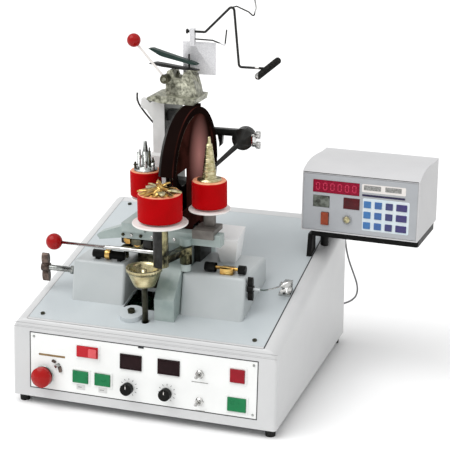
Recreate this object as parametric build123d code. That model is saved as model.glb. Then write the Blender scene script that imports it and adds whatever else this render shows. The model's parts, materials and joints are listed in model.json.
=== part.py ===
"""Bench-top toroidal coil winder: sloped console, magazine ring, three drive rollers and a counter box.

Millimetres. +X right, +Y to the back, +Z up. The pieces are drawn round the centre of the console's footprint,
on the bench, and are moved at the end so that the origin is the centre of the whole machine's base.
"""
import os
from math import atan2, cos, degrees, hypot, pi, radians, sin, tan

from build123d import *

# ---------------------------------------------------------------- driving dimensions
width, depth = 560, 530            # console footprint
foot_height, foot_radius = 18, 11
front_rise, face_setback = 161, 14.5  # front face: height, and how far it leans back
rear_rise = 272.5                  # rear wall height above the feet
wall, front_wall, plate_thick = 4, 7, 5
shoulder_radius, edge_radius = 26, 6
gap = 0.5                          # between panels that lie in a recess
turn_gap = 0.05                    # radial clearance of a shaft that turns in a hole
slide_gap = 0.3                    # between faces that slide or curve past each other

panel_width, panel_height, panel_thick = 482, 116, 3
panel_foot = 20                    # panel's lower edge, up the front face

ring_front, ring_foot = -153, 327       # front of the magazine, and lowest point of its guard
magazine_outer, magazine_band, magazine_width = 118, 14, 10
hood_clearance, hood_wall, hood_width = 6, 6, 24
magazine_inner = magazine_outer - magazine_band
hood_outer = magazine_outer + hood_clearance + hood_wall
ring_x, ring_y, ring_z = 24, ring_front + magazine_outer, ring_foot + hood_outer   # centre of the magazine
shield_thick = 2.5
drive_wheel_radius, guide_wheel_radius = 16, 12
drive_shaft_radius, guide_pin_radius = 5, 4
wheel_half = magazine_width / 2    # the wheels are as wide as the magazine, clear of the slider ring beside it

roller_foot, roller_height = ring_z - 46, 52
spindle_radius, core_radius = 6, 20
front_roller_at, front_roller_radius, front_disc_radius = (36, -228), 43, 54
left_roller_at, left_roller_radius, left_disc_radius = (-52, -82), 32, 30
right_roller_at, right_roller_radius, right_disc_radius = (96, -115), 35, 42
pivot_at, pivot_radius = (58, -150), 6      # clamp lever's pin

beam_foot, beam_top, beam_front, beam_back = 338, 362, -150, -126
neck_left, neck_right = 8, 49.5             # pedestal blade, in X
boss_height, lip_clearance = 14, 2          # pivot boss on the beam, and the carriages' lips above it
column_top = ring_z + hood_outer + 1
drawn_top, drawn_back = 588, 265            # what the head and the boards are drawn for: column top, rear wall
wheel_cup_at, cup_foot, cup_top = (-8, -208), 265, 302

front_y = -265                              # front edge of the console; the depth is measured from it
back_y = front_y + depth
counter_corner, counter_yaw = (229, back_y - 185, 316), -3
counter_width, counter_depth, counter_front, counter_rear = 248, 165, 125, 137
cable_radius = 2

os.makedirs("parts", exist_ok=True)
half = width / 2
table_front_y, table_front_z = front_y + face_setback, foot_height + front_rise
table_slope = atan2(foot_height + rear_rise - table_front_z, back_y - table_front_y)
table_length = hypot(back_y - table_front_y, foot_height + rear_rise - table_front_z)
face_lean = atan2(face_setback, front_rise)


def table_z(y):
    """Height of the sloped table at a given Y."""
    return table_front_z + (y - table_front_y) * tan(table_slope)


table = Plane((0, table_front_y, table_front_z), x_dir=(1, 0, 0),
              z_dir=(0, -sin(table_slope), cos(table_slope)))
face = Plane((0, front_y, foot_height), x_dir=(1, 0, 0), z_dir=(0, -cos(face_lean), sin(face_lean)))
yaw = radians(counter_yaw)
counter = Plane(counter_corner, x_dir=(cos(yaw), sin(yaw), 0), z_dir=(0, 0, 1))


# ---------------------------------------------------------------- shape helpers
def block(x0, x1, y0, y1, z0, z1):
    return Pos((x0 + x1) / 2, (y0 + y1) / 2, (z0 + z1) / 2) * Box(x1 - x0, y1 - y0, z1 - z0)


def rod(start, end, radius, end_radius=None):
    """A round bar, or a cone, from one point to another."""
    run = Vector(*end) - Vector(*start)
    seat = Plane(Vector(*start), z_dir=run)
    if end_radius is None:
        return Solid.make_cylinder(radius, run.length, seat)
    return Solid.make_cone(radius, end_radius, run.length, seat)


def post(x, y, z0, z1, radius, top_radius=None):
    return rod((x, y, z0), (x, y, z1), radius, top_radius)


def axle(x0, x1, y, z, radius):
    return rod((x0, y, z), (x1, y, z), radius)


def ball(x, y, z, radius):
    return Pos(x, y, z) * Sphere(radius)


def prism_x(points, x0, x1):
    """Extrudes a (Y, Z) outline from x0 to x1."""
    outline = make_face(Polyline(*[(x0, y, z) for y, z in points], close=True))
    return extrude(outline, amount=x1 - x0, dir=(1, 0, 0))


def prism_y(points, y0, y1):
    """Extrudes an (X, Z) outline from y0 to y1."""
    outline = make_face(Polyline(*[(x, y0, z) for x, z in points], close=True))
    return extrude(outline, amount=y1 - y0, dir=(0, 1, 0))


def on_face(shape, x, v, n=0):
    """Places a shape on the front face: across, up the face, out of it."""
    return face * Pos(x, v, n) * shape


def slab(w, h, n0, n1):
    return Pos(0, 0, (n0 + n1) / 2) * Box(w, h, n1 - n0)


def drum(radius, n0, n1):
    return Pos(0, 0, (n0 + n1) / 2) * Cylinder(radius, n1 - n0)


def wire(points, radius, corner):
    """A round wire along straight runs with rounded corners."""
    path = FilletPolyline(*points, radius=corner)
    section = Plane(points[0], z_dir=Vector(*points[1]) - Vector(*points[0])) * Circle(radius)
    return sweep(section, path=path)


def ring_point(angle, radius):
    """(Y, Z) on the magazine's circle; the angle runs from the front up over the top."""
    return ring_y - radius * cos(radians(angle)), ring_z + radius * sin(radians(angle))


def ring_band(x0, x1, outer, inner):
    return axle(x0, x1, ring_y, ring_z, outer) - axle(x0 - 1, x1 + 1, ring_y, ring_z, inner)


def ring_sector(start, end, x0, x1, reach=300):
    """A wedge that keeps the stretch of a ring between two angles."""
    steps = [start + (end - start) * i / 4 for i in range(5)]
    return prism_x([(ring_y, ring_z)] + [ring_point(a, reach) for a in steps], x0, x1)


def joined(*shapes):
    """One solid from shapes that meet."""
    first, *rest = shapes
    return first.fuse(*rest).clean() if rest else first


def group(*shapes):
    return Compound([solid for shape in shapes for solid in shape.solids()])


parts = {}

# ---------------------------------------------------------------- console
side = [(front_y, foot_height), (back_y, foot_height), (back_y, foot_height + rear_rise),
        (table_front_y, table_front_z)]
body = prism_x(side, -half, half)
side_edges = [e for e in body.edges() if abs(abs(e.center().X) - half) < 1 and e.length > depth / 2]
body = fillet([e for e in side_edges if e.center().Z > table_front_z + 5], shoulder_radius)
front_edges = [e for e in body.edges() if abs(abs(e.center().X) - half) < 3 and e.length > front_rise / 2]
body = fillet([e for e in front_edges if e.center().Y < front_y + face_setback], edge_radius)
skin = wall + plate_thick
inner = [(front_y + front_wall, foot_height - 5), (back_y - wall, foot_height - 5),
         (back_y - wall, table_z(back_y - wall) - skin),
         (table_front_y + front_wall, table_z(table_front_y + front_wall) - skin)]
cavity = prism_x(inner, -half + wall, half - wall)
cavity = fillet([e for e in cavity.edges() if abs(abs(e.center().X) - half + wall) < 1 and e.length > depth / 2
                 and e.center().Z > table_front_z], shoulder_radius - wall)

plate_half, plate_start, plate_end = 250, 9, table_length - 20
ledge = 14
recess = table * block(-plate_half, plate_half, plate_start, plate_end, -plate_thick, 5)
recess_corners = recess.edges().filter_by(lambda e: abs(e.length - plate_thick - 5) < 0.01)
recess = fillet(recess_corners, 6)
window_half = plate_half - ledge
window = table * block(-window_half, window_half, plate_start + ledge, plate_end - ledge, -3 * skin, 0)
panel_mid = panel_foot + panel_height / 2
panel_recess = on_face(slab(panel_width + 2 * gap, panel_height + 2 * gap, -panel_thick, 5), 0, panel_mid)
panel_window = on_face(slab(panel_width - 16, panel_height - 16, -3 * front_wall, 5), 0, panel_mid)
shell = body - cavity - recess - window - panel_recess - panel_window
bezel_line = face * block(-half - 5, half + 5, front_rise - 14, front_rise - 13, -0.6, 5)
shell -= bezel_line
inlet_at, gland_at, gland_radius = (-200, 62), (246, 66), 5
shell -= block(inlet_at[0] - 14, inlet_at[0] + 14, back_y - 8, back_y + 5, inlet_at[1] - 10, inlet_at[1] + 10)
shell -= rod((gland_at[0], back_y - 8, gland_at[1]), (gland_at[0], back_y + 5, gland_at[1]), gland_radius + 0.2)
for i in range(9):
    slot_z = 110 + 12 * i
    shell -= block(-150, 150, back_y - 8, back_y + 5, slot_z, slot_z + 4)
parts["console_shell"] = shell

pan_thick = 3
pan = block(-half + wall + gap, half - wall - gap, front_y + front_wall + 3 * gap, back_y - wall - gap,
            foot_height, foot_height + pan_thick)
feet_at = [(sx * (half - 16), y) for sx in (-1, 1) for y in (front_y + 20, back_y - 20)]
foot_screw_radius = 2.5
for x, y in feet_at:
    pan -= post(x, y, foot_height - 1, foot_height + pan_thick + 1, foot_screw_radius + 0.3)
for i in range(8):
    pan -= block(-100 + 25 * i, -94 + 25 * i, -120, -20, foot_height - 1, foot_height + pan_thick + 1)
parts["base_pan"] = pan

feet = []
for x, y in feet_at:
    foot = post(x, y, 0, foot_height, foot_radius - 1, foot_radius)
    foot -= post(x, y, -1, 6, 6)
    foot -= post(x, y, 0, foot_height + 1, foot_screw_radius + 0.3)
    feet.append(foot)
parts["rubber_feet"] = group(*feet)

slot_left, slot_right, slot_front, slot_back = -72, 2, 84, 158   # dark well in the table, along the slope
lug_at, lug_radius = (-42, 56), 25
plate = table * block(-plate_half + gap, plate_half - gap, plate_start + gap, plate_end - gap, -plate_thick, 0)
plate = fillet(plate.edges().filter_by(lambda e: abs(e.length - plate_thick) < 0.01), 6 - gap)
plate -= table * block(slot_left, slot_right, slot_front, slot_back, -plate_thick - 1, 1)
lug = table * Pos(lug_at[0], lug_at[1], 5) * Cylinder(lug_radius, 10)
plate = joined(plate, lug)
screw_points = [(-225, 26), (225, 26), (-225, plate_end - 12), (225, plate_end - 12)]
for x, s in screw_points:
    plate -= table * Pos(x, s, -plate_thick / 2) * Cylinder(2.6, plate_thick + 2)
plate -= table * Pos(lug_at[0], lug_at[1], 0) * Cylinder(3.2, 40)
plate -= post(*wheel_cup_at, 150, 260, spindle_radius + 2)
parts["table_plate"] = plate

screws = [joined(table * Pos(x, s, 1.2) * Cylinder(4.5, 2.4), table * Pos(x, s, -2.4) * Cylinder(2.3, 4.9))
          for x, s in screw_points]
screws.append(joined(table * Pos(lug_at[0], lug_at[1], 13) * extrude(RegularPolygon(8, 6), 3, both=True),
                     table * Pos(lug_at[0], lug_at[1], 2) * Cylinder(3, 18)))
for x, y in feet_at:
    screws.append(joined(post(x, y, 2.5, 6, 5), post(x, y, 5, foot_height + pan_thick + 4, foot_screw_radius)))
parts["cover_screws"] = group(*screws)

# ---------------------------------------------------------------- front panel and its controls
stop_at, rocker_at = (-209, 49), (-114, 110)
button_size = {"start_button_left": (-129, 56, 34, 25), "start_button_right": (-81, 56, 34, 25),
               "stop_button": (201, 103, 30, 27), "run_button": (201, 45, 38, 28)}
meters_at, meter_size = [(-21, 101), (59, 101)], (40, 25)
knobs_at, knob_radius = [(-25, 48), (56, 48)], 12
toggles_at = [(124, 96), (124, 40)]
rocker_size = (46, 24)
fit = 0.4                                    # around a switch body in its cut-out

panel = on_face(slab(panel_width, panel_height, -panel_thick, 0), 0, panel_mid)
panel -= on_face(drum(11.4, -10, 5), *stop_at)
fittings = []


def cut_out(w, h, x, v):
    return on_face(slab(w + 2 + 2 * fit, h + 2 + 2 * fit, -10, 5), x, v)


def switch_body(w, h, x, v):
    """A rectangular bezel with its body behind the panel and a pocket for the moving cap."""
    frame = joined(slab(w + 7, h + 7, 0, 2), slab(w + 2, h + 2, -22, 1))
    return on_face(frame - slab(w, h, -14, 5), x, v)


for name, (x, v, w, h) in button_size.items():
    panel -= cut_out(w, h, x, v)
    fittings.append(switch_body(w, h, x, v) - on_face(drum(3.4, -30, -10), x, v))
    cap = fillet(slab(w - 2 * slide_gap, h - 2 * slide_gap, -6, 5).edges().group_by(Axis.Z)[-1], 1.2)
    parts[name] = on_face(joined(cap, drum(3, -18, -5)), x, v)
panel -= cut_out(*rocker_size, *rocker_at)
fittings.append(switch_body(*rocker_size, *rocker_at))
rocker_radius = rocker_size[1] / 2 - 2 * slide_gap
rocker = Rot(0, 90, 0) * Cylinder(rocker_radius, rocker_size[0] - 2 * slide_gap)
rocker = rocker & slab(60, 60, -6, 4.5)
parts["power_rocker"] = on_face(rocker, *rocker_at)
for x, v in meters_at:
    panel -= cut_out(*meter_size, x, v)
    w, h = meter_size
    meter = joined(slab(w + 6, h + 6, 0, 2), slab(w + 2, h + 2, -16, 1))
    fittings.append(on_face(meter - slab(w - 2, h - 2, 1, 5), x, v))
for (x, v), name in zip(knobs_at, ("speed_knob", "tension_knob")):
    panel -= on_face(drum(4.7, -10, 5), x, v)
    body_back = joined(drum(9, -20, -panel_thick - 0.2), drum(4.4, -5, 4))
    fittings.append(on_face(body_back - drum(3 + turn_gap, -14, 5), x, v))
    knob = fillet(drum(knob_radius, 5, 19).edges().group_by(Axis.Z)[-1], 1.5)
    knob = joined(knob, drum(3, -12, 6), Pos(0, knob_radius - 2, 12) * Box(2, 5, 14.6))
    parts[name] = on_face(knob, x, v)
for (x, v), name in zip(toggles_at, ("toggle_upper", "toggle_lower")):
    panel -= on_face(drum(6.4, -10, 5), x, v)
    bush = joined(slab(14, 20, -24, -panel_thick - 0.2), drum(6, -5, 5),
                  extrude(RegularPolygon(9, 6), 2.5)) - drum(4.6, -8, 9)
    fittings.append(on_face(bush, x, v))
    pivot_pin = Rot(0, 90, 0) * Cylinder(1.2, 8.6)
    stem = Solid.make_cone(1.8, 3.2, 20, Plane((0, 0, 2)))
    bat = joined(ball(0, 0, 0, 4.2), pivot_pin, stem, ball(0, 0, 22, 3.3))
    parts[name] = on_face(bat, x, v)
collar = joined(drum(16, 0, 4), drum(11, -42, 1)) - drum(8 + slide_gap, -34, 5)
fittings.append(on_face(collar, *stop_at))
mushroom = joined(drum(21, 12, 20), drum(8, -24, 13))
dome = Pos(0, 0, 20 - 24) * Sphere(32) & drum(21, 19.5, 40)
parts["stop_mushroom"] = on_face(joined(mushroom, dome), *stop_at)
for x in (-panel_width / 2 + 8, panel_width / 2 - 8):
    for v in (panel_foot + 8, panel_foot + panel_height - 8):
        panel -= on_face(drum(1.7, -10, 5), x, v)
parts["control_panel"] = panel
parts["panel_fittings"] = group(*fittings)

# ---------------------------------------------------------------- inside the console
motor_foot, motor_top, shaft_foot = 84, 168, 140
floor = foot_height + pan_thick
motor_x, motor_y = wheel_cup_at
legs = [block(x - 3, x + 3, motor_y - 24, motor_y + 24, floor, 160) for x in (motor_x - 27, motor_x + 27)]
roller_motor = joined(post(motor_x, motor_y, motor_foot, motor_top, 26),
                      post(motor_x, motor_y, 66, motor_foot, 20),
                      block(motor_x - 32, motor_x + 32, motor_y - 32, motor_y + 32, 156, 162), *legs)
roller_motor -= post(*wheel_cup_at, shaft_foot - 2, motor_top + 5, spindle_radius + turn_gap)
parts["roller_motor"] = roller_motor
supply = block(-245, -115, 60, 200, floor, floor + 55)
for i in range(6):
    supply -= block(-235 + 20 * i, -225 + 20 * i, 75, 185, floor + 52, floor + 60)
board = joined(block(-80, 80, 70, 190, floor + 8, floor + 10), *[
    post(x, y, floor, floor + 9, 3) for x in (-72, 72) for y in (78, 182)])
board = joined(board, block(-60, -20, 100, 140, floor + 10, floor + 22),
               block(-60, 60, 160, 178, floor + 10, floor + 24),
               *[post(x, 120, floor + 10, floor + 40, 12) for x in (20, 52)])
counter_board = counter * block(14, counter_width - 14, 22, 24, 12, counter_front - 20)
from_back = Pos(0, back_y - drawn_back, 0)
parts["electronics"] = group(from_back * supply, from_back * board, counter_board)

# ---------------------------------------------------------------- housings on the table


def housing(x0, x1, lean_foot, top_front, top, back):
    """A cast cover, open underneath, whose foot follows the sloped table."""
    outline = [(lean_foot, table_z(lean_foot)), (top_front, top), (back, top), (back, table_z(back))]
    solid = prism_x(outline, x0, x1)
    solid = fillet(solid.edges().filter_by(lambda e: e.center().Z > top - 2), 8)
    uprights = [e for e in solid.edges() if e.length > 30 and e.center().Z < top - 15 and e.center().Z > 215]
    inside = [(lean_foot + wall + 1, table_z(lean_foot + wall + 1) - 1), (top_front + wall, top - wall),
              (back - wall, top - wall), (back - wall, table_z(back - wall) - 1)]
    return fillet(uprights, 6) - prism_x(inside, x0 + wall, x1 - wall)


left_x0, left_x1, housing_top = -190, -74, 280
left_shaft_y, left_shaft_z, left_shaft_radius = -140, 253, 6
left = housing(left_x0, left_x1, -165, -147, housing_top, -62)
left -= axle(left_x0 - 5, left_x0 + 20, left_shaft_y, left_shaft_z, left_shaft_radius + turn_gap)
parts["left_housing"] = left
right_x0, right_x1 = 50, 182
knob_y, knob_z, stub_radius = -150, 257, 3
right = housing(right_x0, right_x1, -172, -152, housing_top, -10)
stub = axle(right_x1 - wall, right_x1 + 28, knob_y + 8, knob_z, stub_radius)
parts["right_housing"] = joined(right, stub)

# pedestal: fender blade on the table, neck, cradle under the ring and the beam that carries the rollers
cradle = hood_outer + 0.5
front_curve = [(-200, 234), (-186, 252), (-170, 268), (-152, 284), (-138, 296), (-134, 310),
               (-134, beam_foot + 2)]
blade_side = ([(-200, table_z(-200))] + front_curve
              + [ring_point(a, cradle) for a in (-52, -60, -68, -76, -84, -92, -100, -108, -116)]
              + [(40, 300), (48, 270), (50, table_z(50))])
neck = prism_x(blade_side, neck_left, neck_right)
neck -= axle(neck_left - 1, neck_right + 1, ring_y, ring_z, cradle)
beam = block(-80, 130, beam_front, beam_back, beam_foot, beam_top)
arm = prism_y([(-80, beam_foot), (-80, beam_top), (-128, 344), (-134, 338), (-128, 330)], beam_front, beam_back)
pivot_x, pivot_y = pivot_at
boss = post(pivot_x, pivot_y, beam_foot, beam_foot + boss_height, 13)
pin = joined(post(pivot_x, pivot_y, 288, beam_foot + 1, pivot_radius), post(pivot_x, pivot_y, 284, 298, 10))
pedestal = joined(neck, beam, arm, boss, pin)
wheel_y, wheel_z = ring_y, ring_z - magazine_outer - slide_gap - drive_wheel_radius
pocket = drive_wheel_radius + 2.5
pedestal -= axle(ring_x - 11, ring_x + 9, wheel_y, wheel_z, pocket)
pedestal -= block(ring_x - 11, ring_x + 9, wheel_y - pocket, wheel_y + pocket, wheel_z, ring_z)
pedestal -= axle(neck_left - 1, neck_right + 5, wheel_y, wheel_z, drive_shaft_radius + turn_gap)
parts["pedestal"] = pedestal

# ---------------------------------------------------------------- magazine ring and its guard
hood_left, hood_right = ring_x - hood_width / 2, ring_x + hood_width / 2
band = ring_band(hood_left, hood_right, hood_outer, hood_outer - hood_wall)
hood = band & ring_sector(8, 252, hood_left - 1, hood_right + 1)
low_guard = band & ring_sector(-76, -36, hood_left - 1, hood_right + 1)
top_lug = block(hood_left, hood_right, ring_y - 4, ring_y + 40, ring_z + hood_outer - 9, column_top)
top_lug -= axle(hood_left - 1, hood_right + 1, ring_y, ring_z, hood_outer - 1)
parts["ring_hood"] = group(joined(hood, top_lug), low_guard)

core_gap = block(ring_x - 60, ring_x + 60, ring_front - 47, ring_front + 69, ring_z - 65, ring_z + 19)
frame_left = hood_left - 4
plate_disc = axle(frame_left, hood_left, ring_y, ring_z, hood_outer) - core_gap
wheel_angles = {"guide_wheel_front": 52, "guide_wheel_rear": 140}
guide_reach = magazine_inner - guide_wheel_radius - slide_gap
pins = []
for angle in wheel_angles.values():
    y, z = ring_point(angle, guide_reach)
    cap_x = ring_x + wheel_half + slide_gap
    pins += [axle(frame_left, cap_x + 1, y, z, guide_pin_radius), axle(cap_x, cap_x + 2.7, y, z, 6),
             axle(frame_left, ring_x - wheel_half - slide_gap, y, z, 7)]
column_right = -42
struts = [block(x, hood_left - 2, 12, 40, z, z + 20)
          for x, z in ((column_right + 2, 400), (column_right, 545))]
plate_disc -= axle(frame_left - 1, hood_left + 1, ring_y, ring_z, 34)
parts["ring_frame"] = joined(plate_disc, *pins, *struts)
shield = axle(hood_right, hood_right + shield_thick, ring_y, ring_z, hood_outer) - core_gap
shield -= block(hood_right - 1, hood_right + 9, wheel_y - 21, wheel_y + 21, 320, wheel_z + 24)
parts["ring_shield"] = shield

magazine = ring_band(ring_x - magazine_width / 2, ring_x + magazine_width / 2, magazine_outer, magazine_inner)
wire_groove = ring_band(ring_x - 2.5, ring_x + 2.5, magazine_outer + 1, magazine_outer - 7)
parts["magazine_ring"] = magazine - wire_groove
slider_x = ring_x + magazine_width / 2 + slide_gap
slider = ring_band(slider_x, slider_x + 3, magazine_inner + 8, magazine_inner)
y, z = ring_point(75, magazine_inner + 10)
slider = joined(slider, axle(slider_x, slider_x + 4.5, y, z, 7))
parts["slider_ring"] = slider
for name, angle in wheel_angles.items():
    y, z = ring_point(angle, guide_reach)
    wheel = axle(ring_x - wheel_half, ring_x + wheel_half, y, z, guide_wheel_radius)
    parts[name] = wheel - axle(ring_x - 7, ring_x + 7, y, z, guide_pin_radius + turn_gap)
shaft_end = 66
drive = joined(axle(ring_x - wheel_half, ring_x + wheel_half, wheel_y, wheel_z, drive_wheel_radius),
               axle(ring_x - 12, shaft_end, wheel_y, wheel_z, drive_shaft_radius))
parts["ring_drive_wheel"] = drive

flange_x0, flange_x1, can_radius = neck_right + 1.5, 64, 15
ring_motor = joined(block(flange_x0, flange_x1, -84, wheel_y + 18, housing_top, wheel_z + 20),
                    axle(flange_x1 - 1, 91, wheel_y, wheel_z, 10), axle(90, 122, wheel_y, wheel_z, can_radius))
ring_motor -= axle(flange_x0 - 1, shaft_end + 2, wheel_y, wheel_z, drive_shaft_radius + turn_gap)
parts["ring_motor"] = ring_motor


def tapered(top, foot, z_top, z_foot):
    """A box that narrows downwards, from two four-cornered outlines."""
    ends = ((foot, z_foot), (top, z_top))
    return loft([make_face(Polyline(*[(x, y, z) for x, y in outline], close=True)) for outline, z in ends])


cover_top = wheel_z + can_radius + 4
skin_cover = 2.5
cover_high = [(flange_x1 + 1, -14), (138, -14), (152, -108), (104, -110)]
cover_low = [(80, -14), (128, -14), (134, -70), (104, -74)]
inner_high = [(flange_x1 + 1 + skin_cover, -14 - skin_cover), (138 - skin_cover, -14 - skin_cover),
              (152 - skin_cover, -108 + skin_cover), (104 + skin_cover, -110 + skin_cover)]
inner_low = [(80 + skin_cover, -14 - skin_cover), (128 - skin_cover, -14 - skin_cover),
             (134 - skin_cover, -70 + skin_cover), (104 + skin_cover, -74 + skin_cover)]
cover = tapered(cover_high, cover_low, cover_top, housing_top)
cover = cover - tapered(inner_high, inner_low, cover_top - skin_cover, housing_top - 0.5)
cover -= axle(flange_x1 - 2, 93, wheel_y, wheel_z, 10.5)
parts["motor_cover"] = cover

# adjusting screws on the two housings
brass_block = block(126, 152, -142, -120, housing_top, housing_top + 12)
brass_screw = axle(108, 172, -131, housing_top + 10, 3.5)
caps = [axle(92, 114, -131, housing_top + 10, 9.5), axle(162, 176, -131, housing_top + 10, 9)]
tube = joined(axle(-152, -84, -128, housing_top + 11, 8.5), axle(-124, -114, -128, housing_top + 11, 10.5),
              block(-146, -138, -134, -122, housing_top, housing_top + 7),
              block(-98, -90, -134, -122, housing_top, housing_top + 7))
parts["adjusters"] = group(joined(brass_block, brass_screw, *caps), tube)

# ---------------------------------------------------------------- rollers, carriages and the clamp lever
roller_top = roller_foot + roller_height


def sleeve(at, radius):
    """Rubber tyre of a drive roller."""
    tyre = post(*at, roller_foot, roller_top, radius)
    tyre = fillet(tyre.edges().filter_by(GeomType.CIRCLE), 3)
    return tyre - post(*at, roller_foot - 1, roller_top + 1, core_radius)


def hub(at, disc_radius, spindle_foot):
    """Spindle, flange disc and core of a roller, in one turned piece."""
    disc = fillet(post(*at, roller_foot - 8, roller_foot - 4, disc_radius).edges(), 1.5)
    return joined(post(*at, spindle_foot, roller_foot - 7, spindle_radius), disc,
                  post(*at, roller_foot - 5, roller_foot - 0.2, core_radius + 6),
                  post(*at, roller_foot - 1, roller_top, core_radius - turn_gap))


fx, fy = front_roller_at
front_hub = hub(front_roller_at, front_disc_radius, beam_foot - 12)
star = [front_hub, post(fx, fy, roller_top, roller_top + 3, 32),
        post(fx, fy, roller_top, roller_top + 18, 12, 5)]
for turn, reach in ((20, 41), (78, 34), (128, 41), (176, 38), (222, 41), (275, 36), (326, 40)):
    ray = [(6, roller_top + 2), (reach, roller_top + 2), (reach, roller_top + 3.5), (6, roller_top + 13)]
    star.append(Pos(fx, fy, 0) * Rot(0, 0, turn) * prism_y(ray, -4.5, 4.5))
parts["front_hub"] = joined(*star)
parts["front_roller"] = sleeve(front_roller_at, front_roller_radius)
lx, ly = left_roller_at
parts["left_roller"] = sleeve(left_roller_at, left_roller_radius)
parts["left_hub"] = joined(hub(left_roller_at, left_disc_radius, beam_top + 6),
                           post(lx, ly, roller_top, roller_top + 8, 16), post(lx, ly, roller_top, roller_top + 4, 24),
                           post(lx, ly, roller_top, roller_top + 38, 7),
                           post(lx, ly, roller_top + 38, roller_top + 60, 6, 3),
                           post(lx - 14, ly, roller_top, roller_top + 36, 4),
                           post(lx + 17, ly - 3, roller_top, roller_top + 17, 4),
                           block(lx, lx + 17, ly - 4, ly - 1, roller_top + 8, roller_top + 13),
                           block(lx + 6, lx + 11, ly - 3, ly + 3, roller_top, roller_top + 40),
                           block(lx - 14, lx + 11, ly - 2.5, ly + 2.5, roller_top + 24, roller_top + 30))
rx, ry = right_roller_at
parts["right_roller"] = sleeve(right_roller_at, right_roller_radius)
parts["right_hub"] = joined(hub(right_roller_at, right_disc_radius, beam_top + 6),
                            post(rx, ry, roller_top, roller_top + 4, 24),
                            post(rx, ry, roller_top, roller_top + 74, 15, 6),
                            post(rx, ry, roller_top + 73, roller_top + 88, 4, 2.5))

bearing = spindle_radius + turn_gap
carriage_top = beam_top + 10
lip_foot = beam_foot + boss_height + lip_clearance


def carriage(x0, x1, at, boss_radius, reach):
    """A saddle on the beam with the bearing of one roller."""
    x, y = at
    saddle = joined(block(x0, x1, beam_front - 7, reach, beam_top + slide_gap, carriage_top),
                    block(x0, x1, beam_front - 7, beam_front - slide_gap, lip_foot, carriage_top),
                    post(x, y, beam_top + slide_gap, roller_foot - 12, boss_radius))
    return saddle - post(x, y, beam_top - 1, roller_foot, bearing)


parts["left_carriage"] = carriage(-76, -28, left_roller_at, 13, -68)
parts["right_carriage"] = carriage(74, 118, right_roller_at, 12.5, -101)

arm_foot, arm_top = 320, 334
lever_z, ball_x, ball_radius = 314, -230, 17
boss_front = post(fx, fy, arm_foot - 4, roller_foot - 14, 15)
link_length, link_turn = hypot(pivot_x - fx, pivot_y - fy), degrees(atan2(pivot_y - fy, pivot_x - fx))
link = Pos((fx + pivot_x) / 2, (fy + pivot_y) / 2, (arm_foot + arm_top) / 2) * Rot(0, 0, link_turn) * Box(
    link_length, 18, arm_top - arm_foot)
front_arm = joined(boss_front, link, post(pivot_x, pivot_y, 299, arm_top, 12.5))
front_arm -= post(fx, fy, beam_foot - 14, roller_foot, bearing)
front_arm -= post(pivot_x, pivot_y, 280, arm_top + 5, pivot_radius + turn_gap)
lever = joined(rod((-120, pivot_y, lever_z), (pivot_x - 11, pivot_y, lever_z), 4, 5.5),
               rod((ball_x + 8, pivot_y, lever_z), (-119, pivot_y, lever_z), 3.2))
parts["clamp_lever"] = joined(front_arm, lever)
knob_ball = ball(ball_x, pivot_y, lever_z, ball_radius)
parts["clamp_ball"] = knob_ball - axle(ball_x + 8, ball_x + 40, pivot_y, lever_z, 3.2)


def wings(x0, x1, y, z, reach, width_y, bore):
    """A two-winged hand knob whose axis runs along X."""
    shape = axle(x0, x1, y, z, width_y * 0.62)
    for side_sign in (-1, 1):
        lobe = Pos((x0 + x1) / 2, y, z + side_sign * reach * 0.6) * Rot(0, 90, 0) * scale(
            Cylinder(reach * 0.42, x1 - x0 - 2), by=(1, width_y / reach, 1))
        shape = joined(shape, lobe)
    return shape - axle(x0 - 1, x1 + 1, y, z, bore) if bore else shape


nut_x0, nut_x1 = -264, -248
wing_nut = joined(wings(nut_x0, nut_x1, left_shaft_y, left_shaft_z, 30, 15, 0),
                  axle(nut_x1 - 4, -120, left_shaft_y, left_shaft_z, left_shaft_radius),
                  axle(left_x0 - 8, left_x0 - 1, left_shaft_y, left_shaft_z, 9))
parts["left_wing_nut"] = wing_nut
parts["right_knob"] = wings(right_x1 + 2, right_x1 + 14, knob_y + 8, knob_z, 24, 12, stub_radius + turn_gap)

cx, cy = wheel_cup_at
cup = joined(post(cx, cy, cup_foot, cup_top - 6, 21, 34), post(cx, cy, cup_top - 6, cup_top, 36))
cup -= post(cx, cy, cup_foot + 8, cup_top + 1, 17, 31)
parts["drive_cup"] = joined(cup, post(cx, cy, shaft_foot, cup_top - 4, spindle_radius),
                            post(cx, cy, cup_foot + 4, cup_foot + 14, 11))

# ---------------------------------------------------------------- column, head and wire guides
column_left, column_front, column_back = -68, 0, 106
column = joined(block(column_left, column_right, column_front, column_back, 478, column_top),
                prism_x([(column_front - 6, table_z(column_front - 6)), (column_front - 4, 472),
                         (column_front, 478), (column_back, 478), (column_back + 10, table_z(column_back + 10))],
                        column_left - 4, column_right + 2))
ear = prism_y([(-68, 544), (-82, 566), (-95, 572), (-93, 590), (-80, 588), (-74, 582), (-68, 586)],
              2, 16)
hook = wire([(-67, 8, 536), (-92, 8, 562), (-107, 8, 586), (-104, 8, 600)], 1.6, 8)
head_lift = Pos(0, 0, column_top - drawn_top)
parts["column"] = joined(column, head_lift * ear, head_lift * hook)

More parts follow.
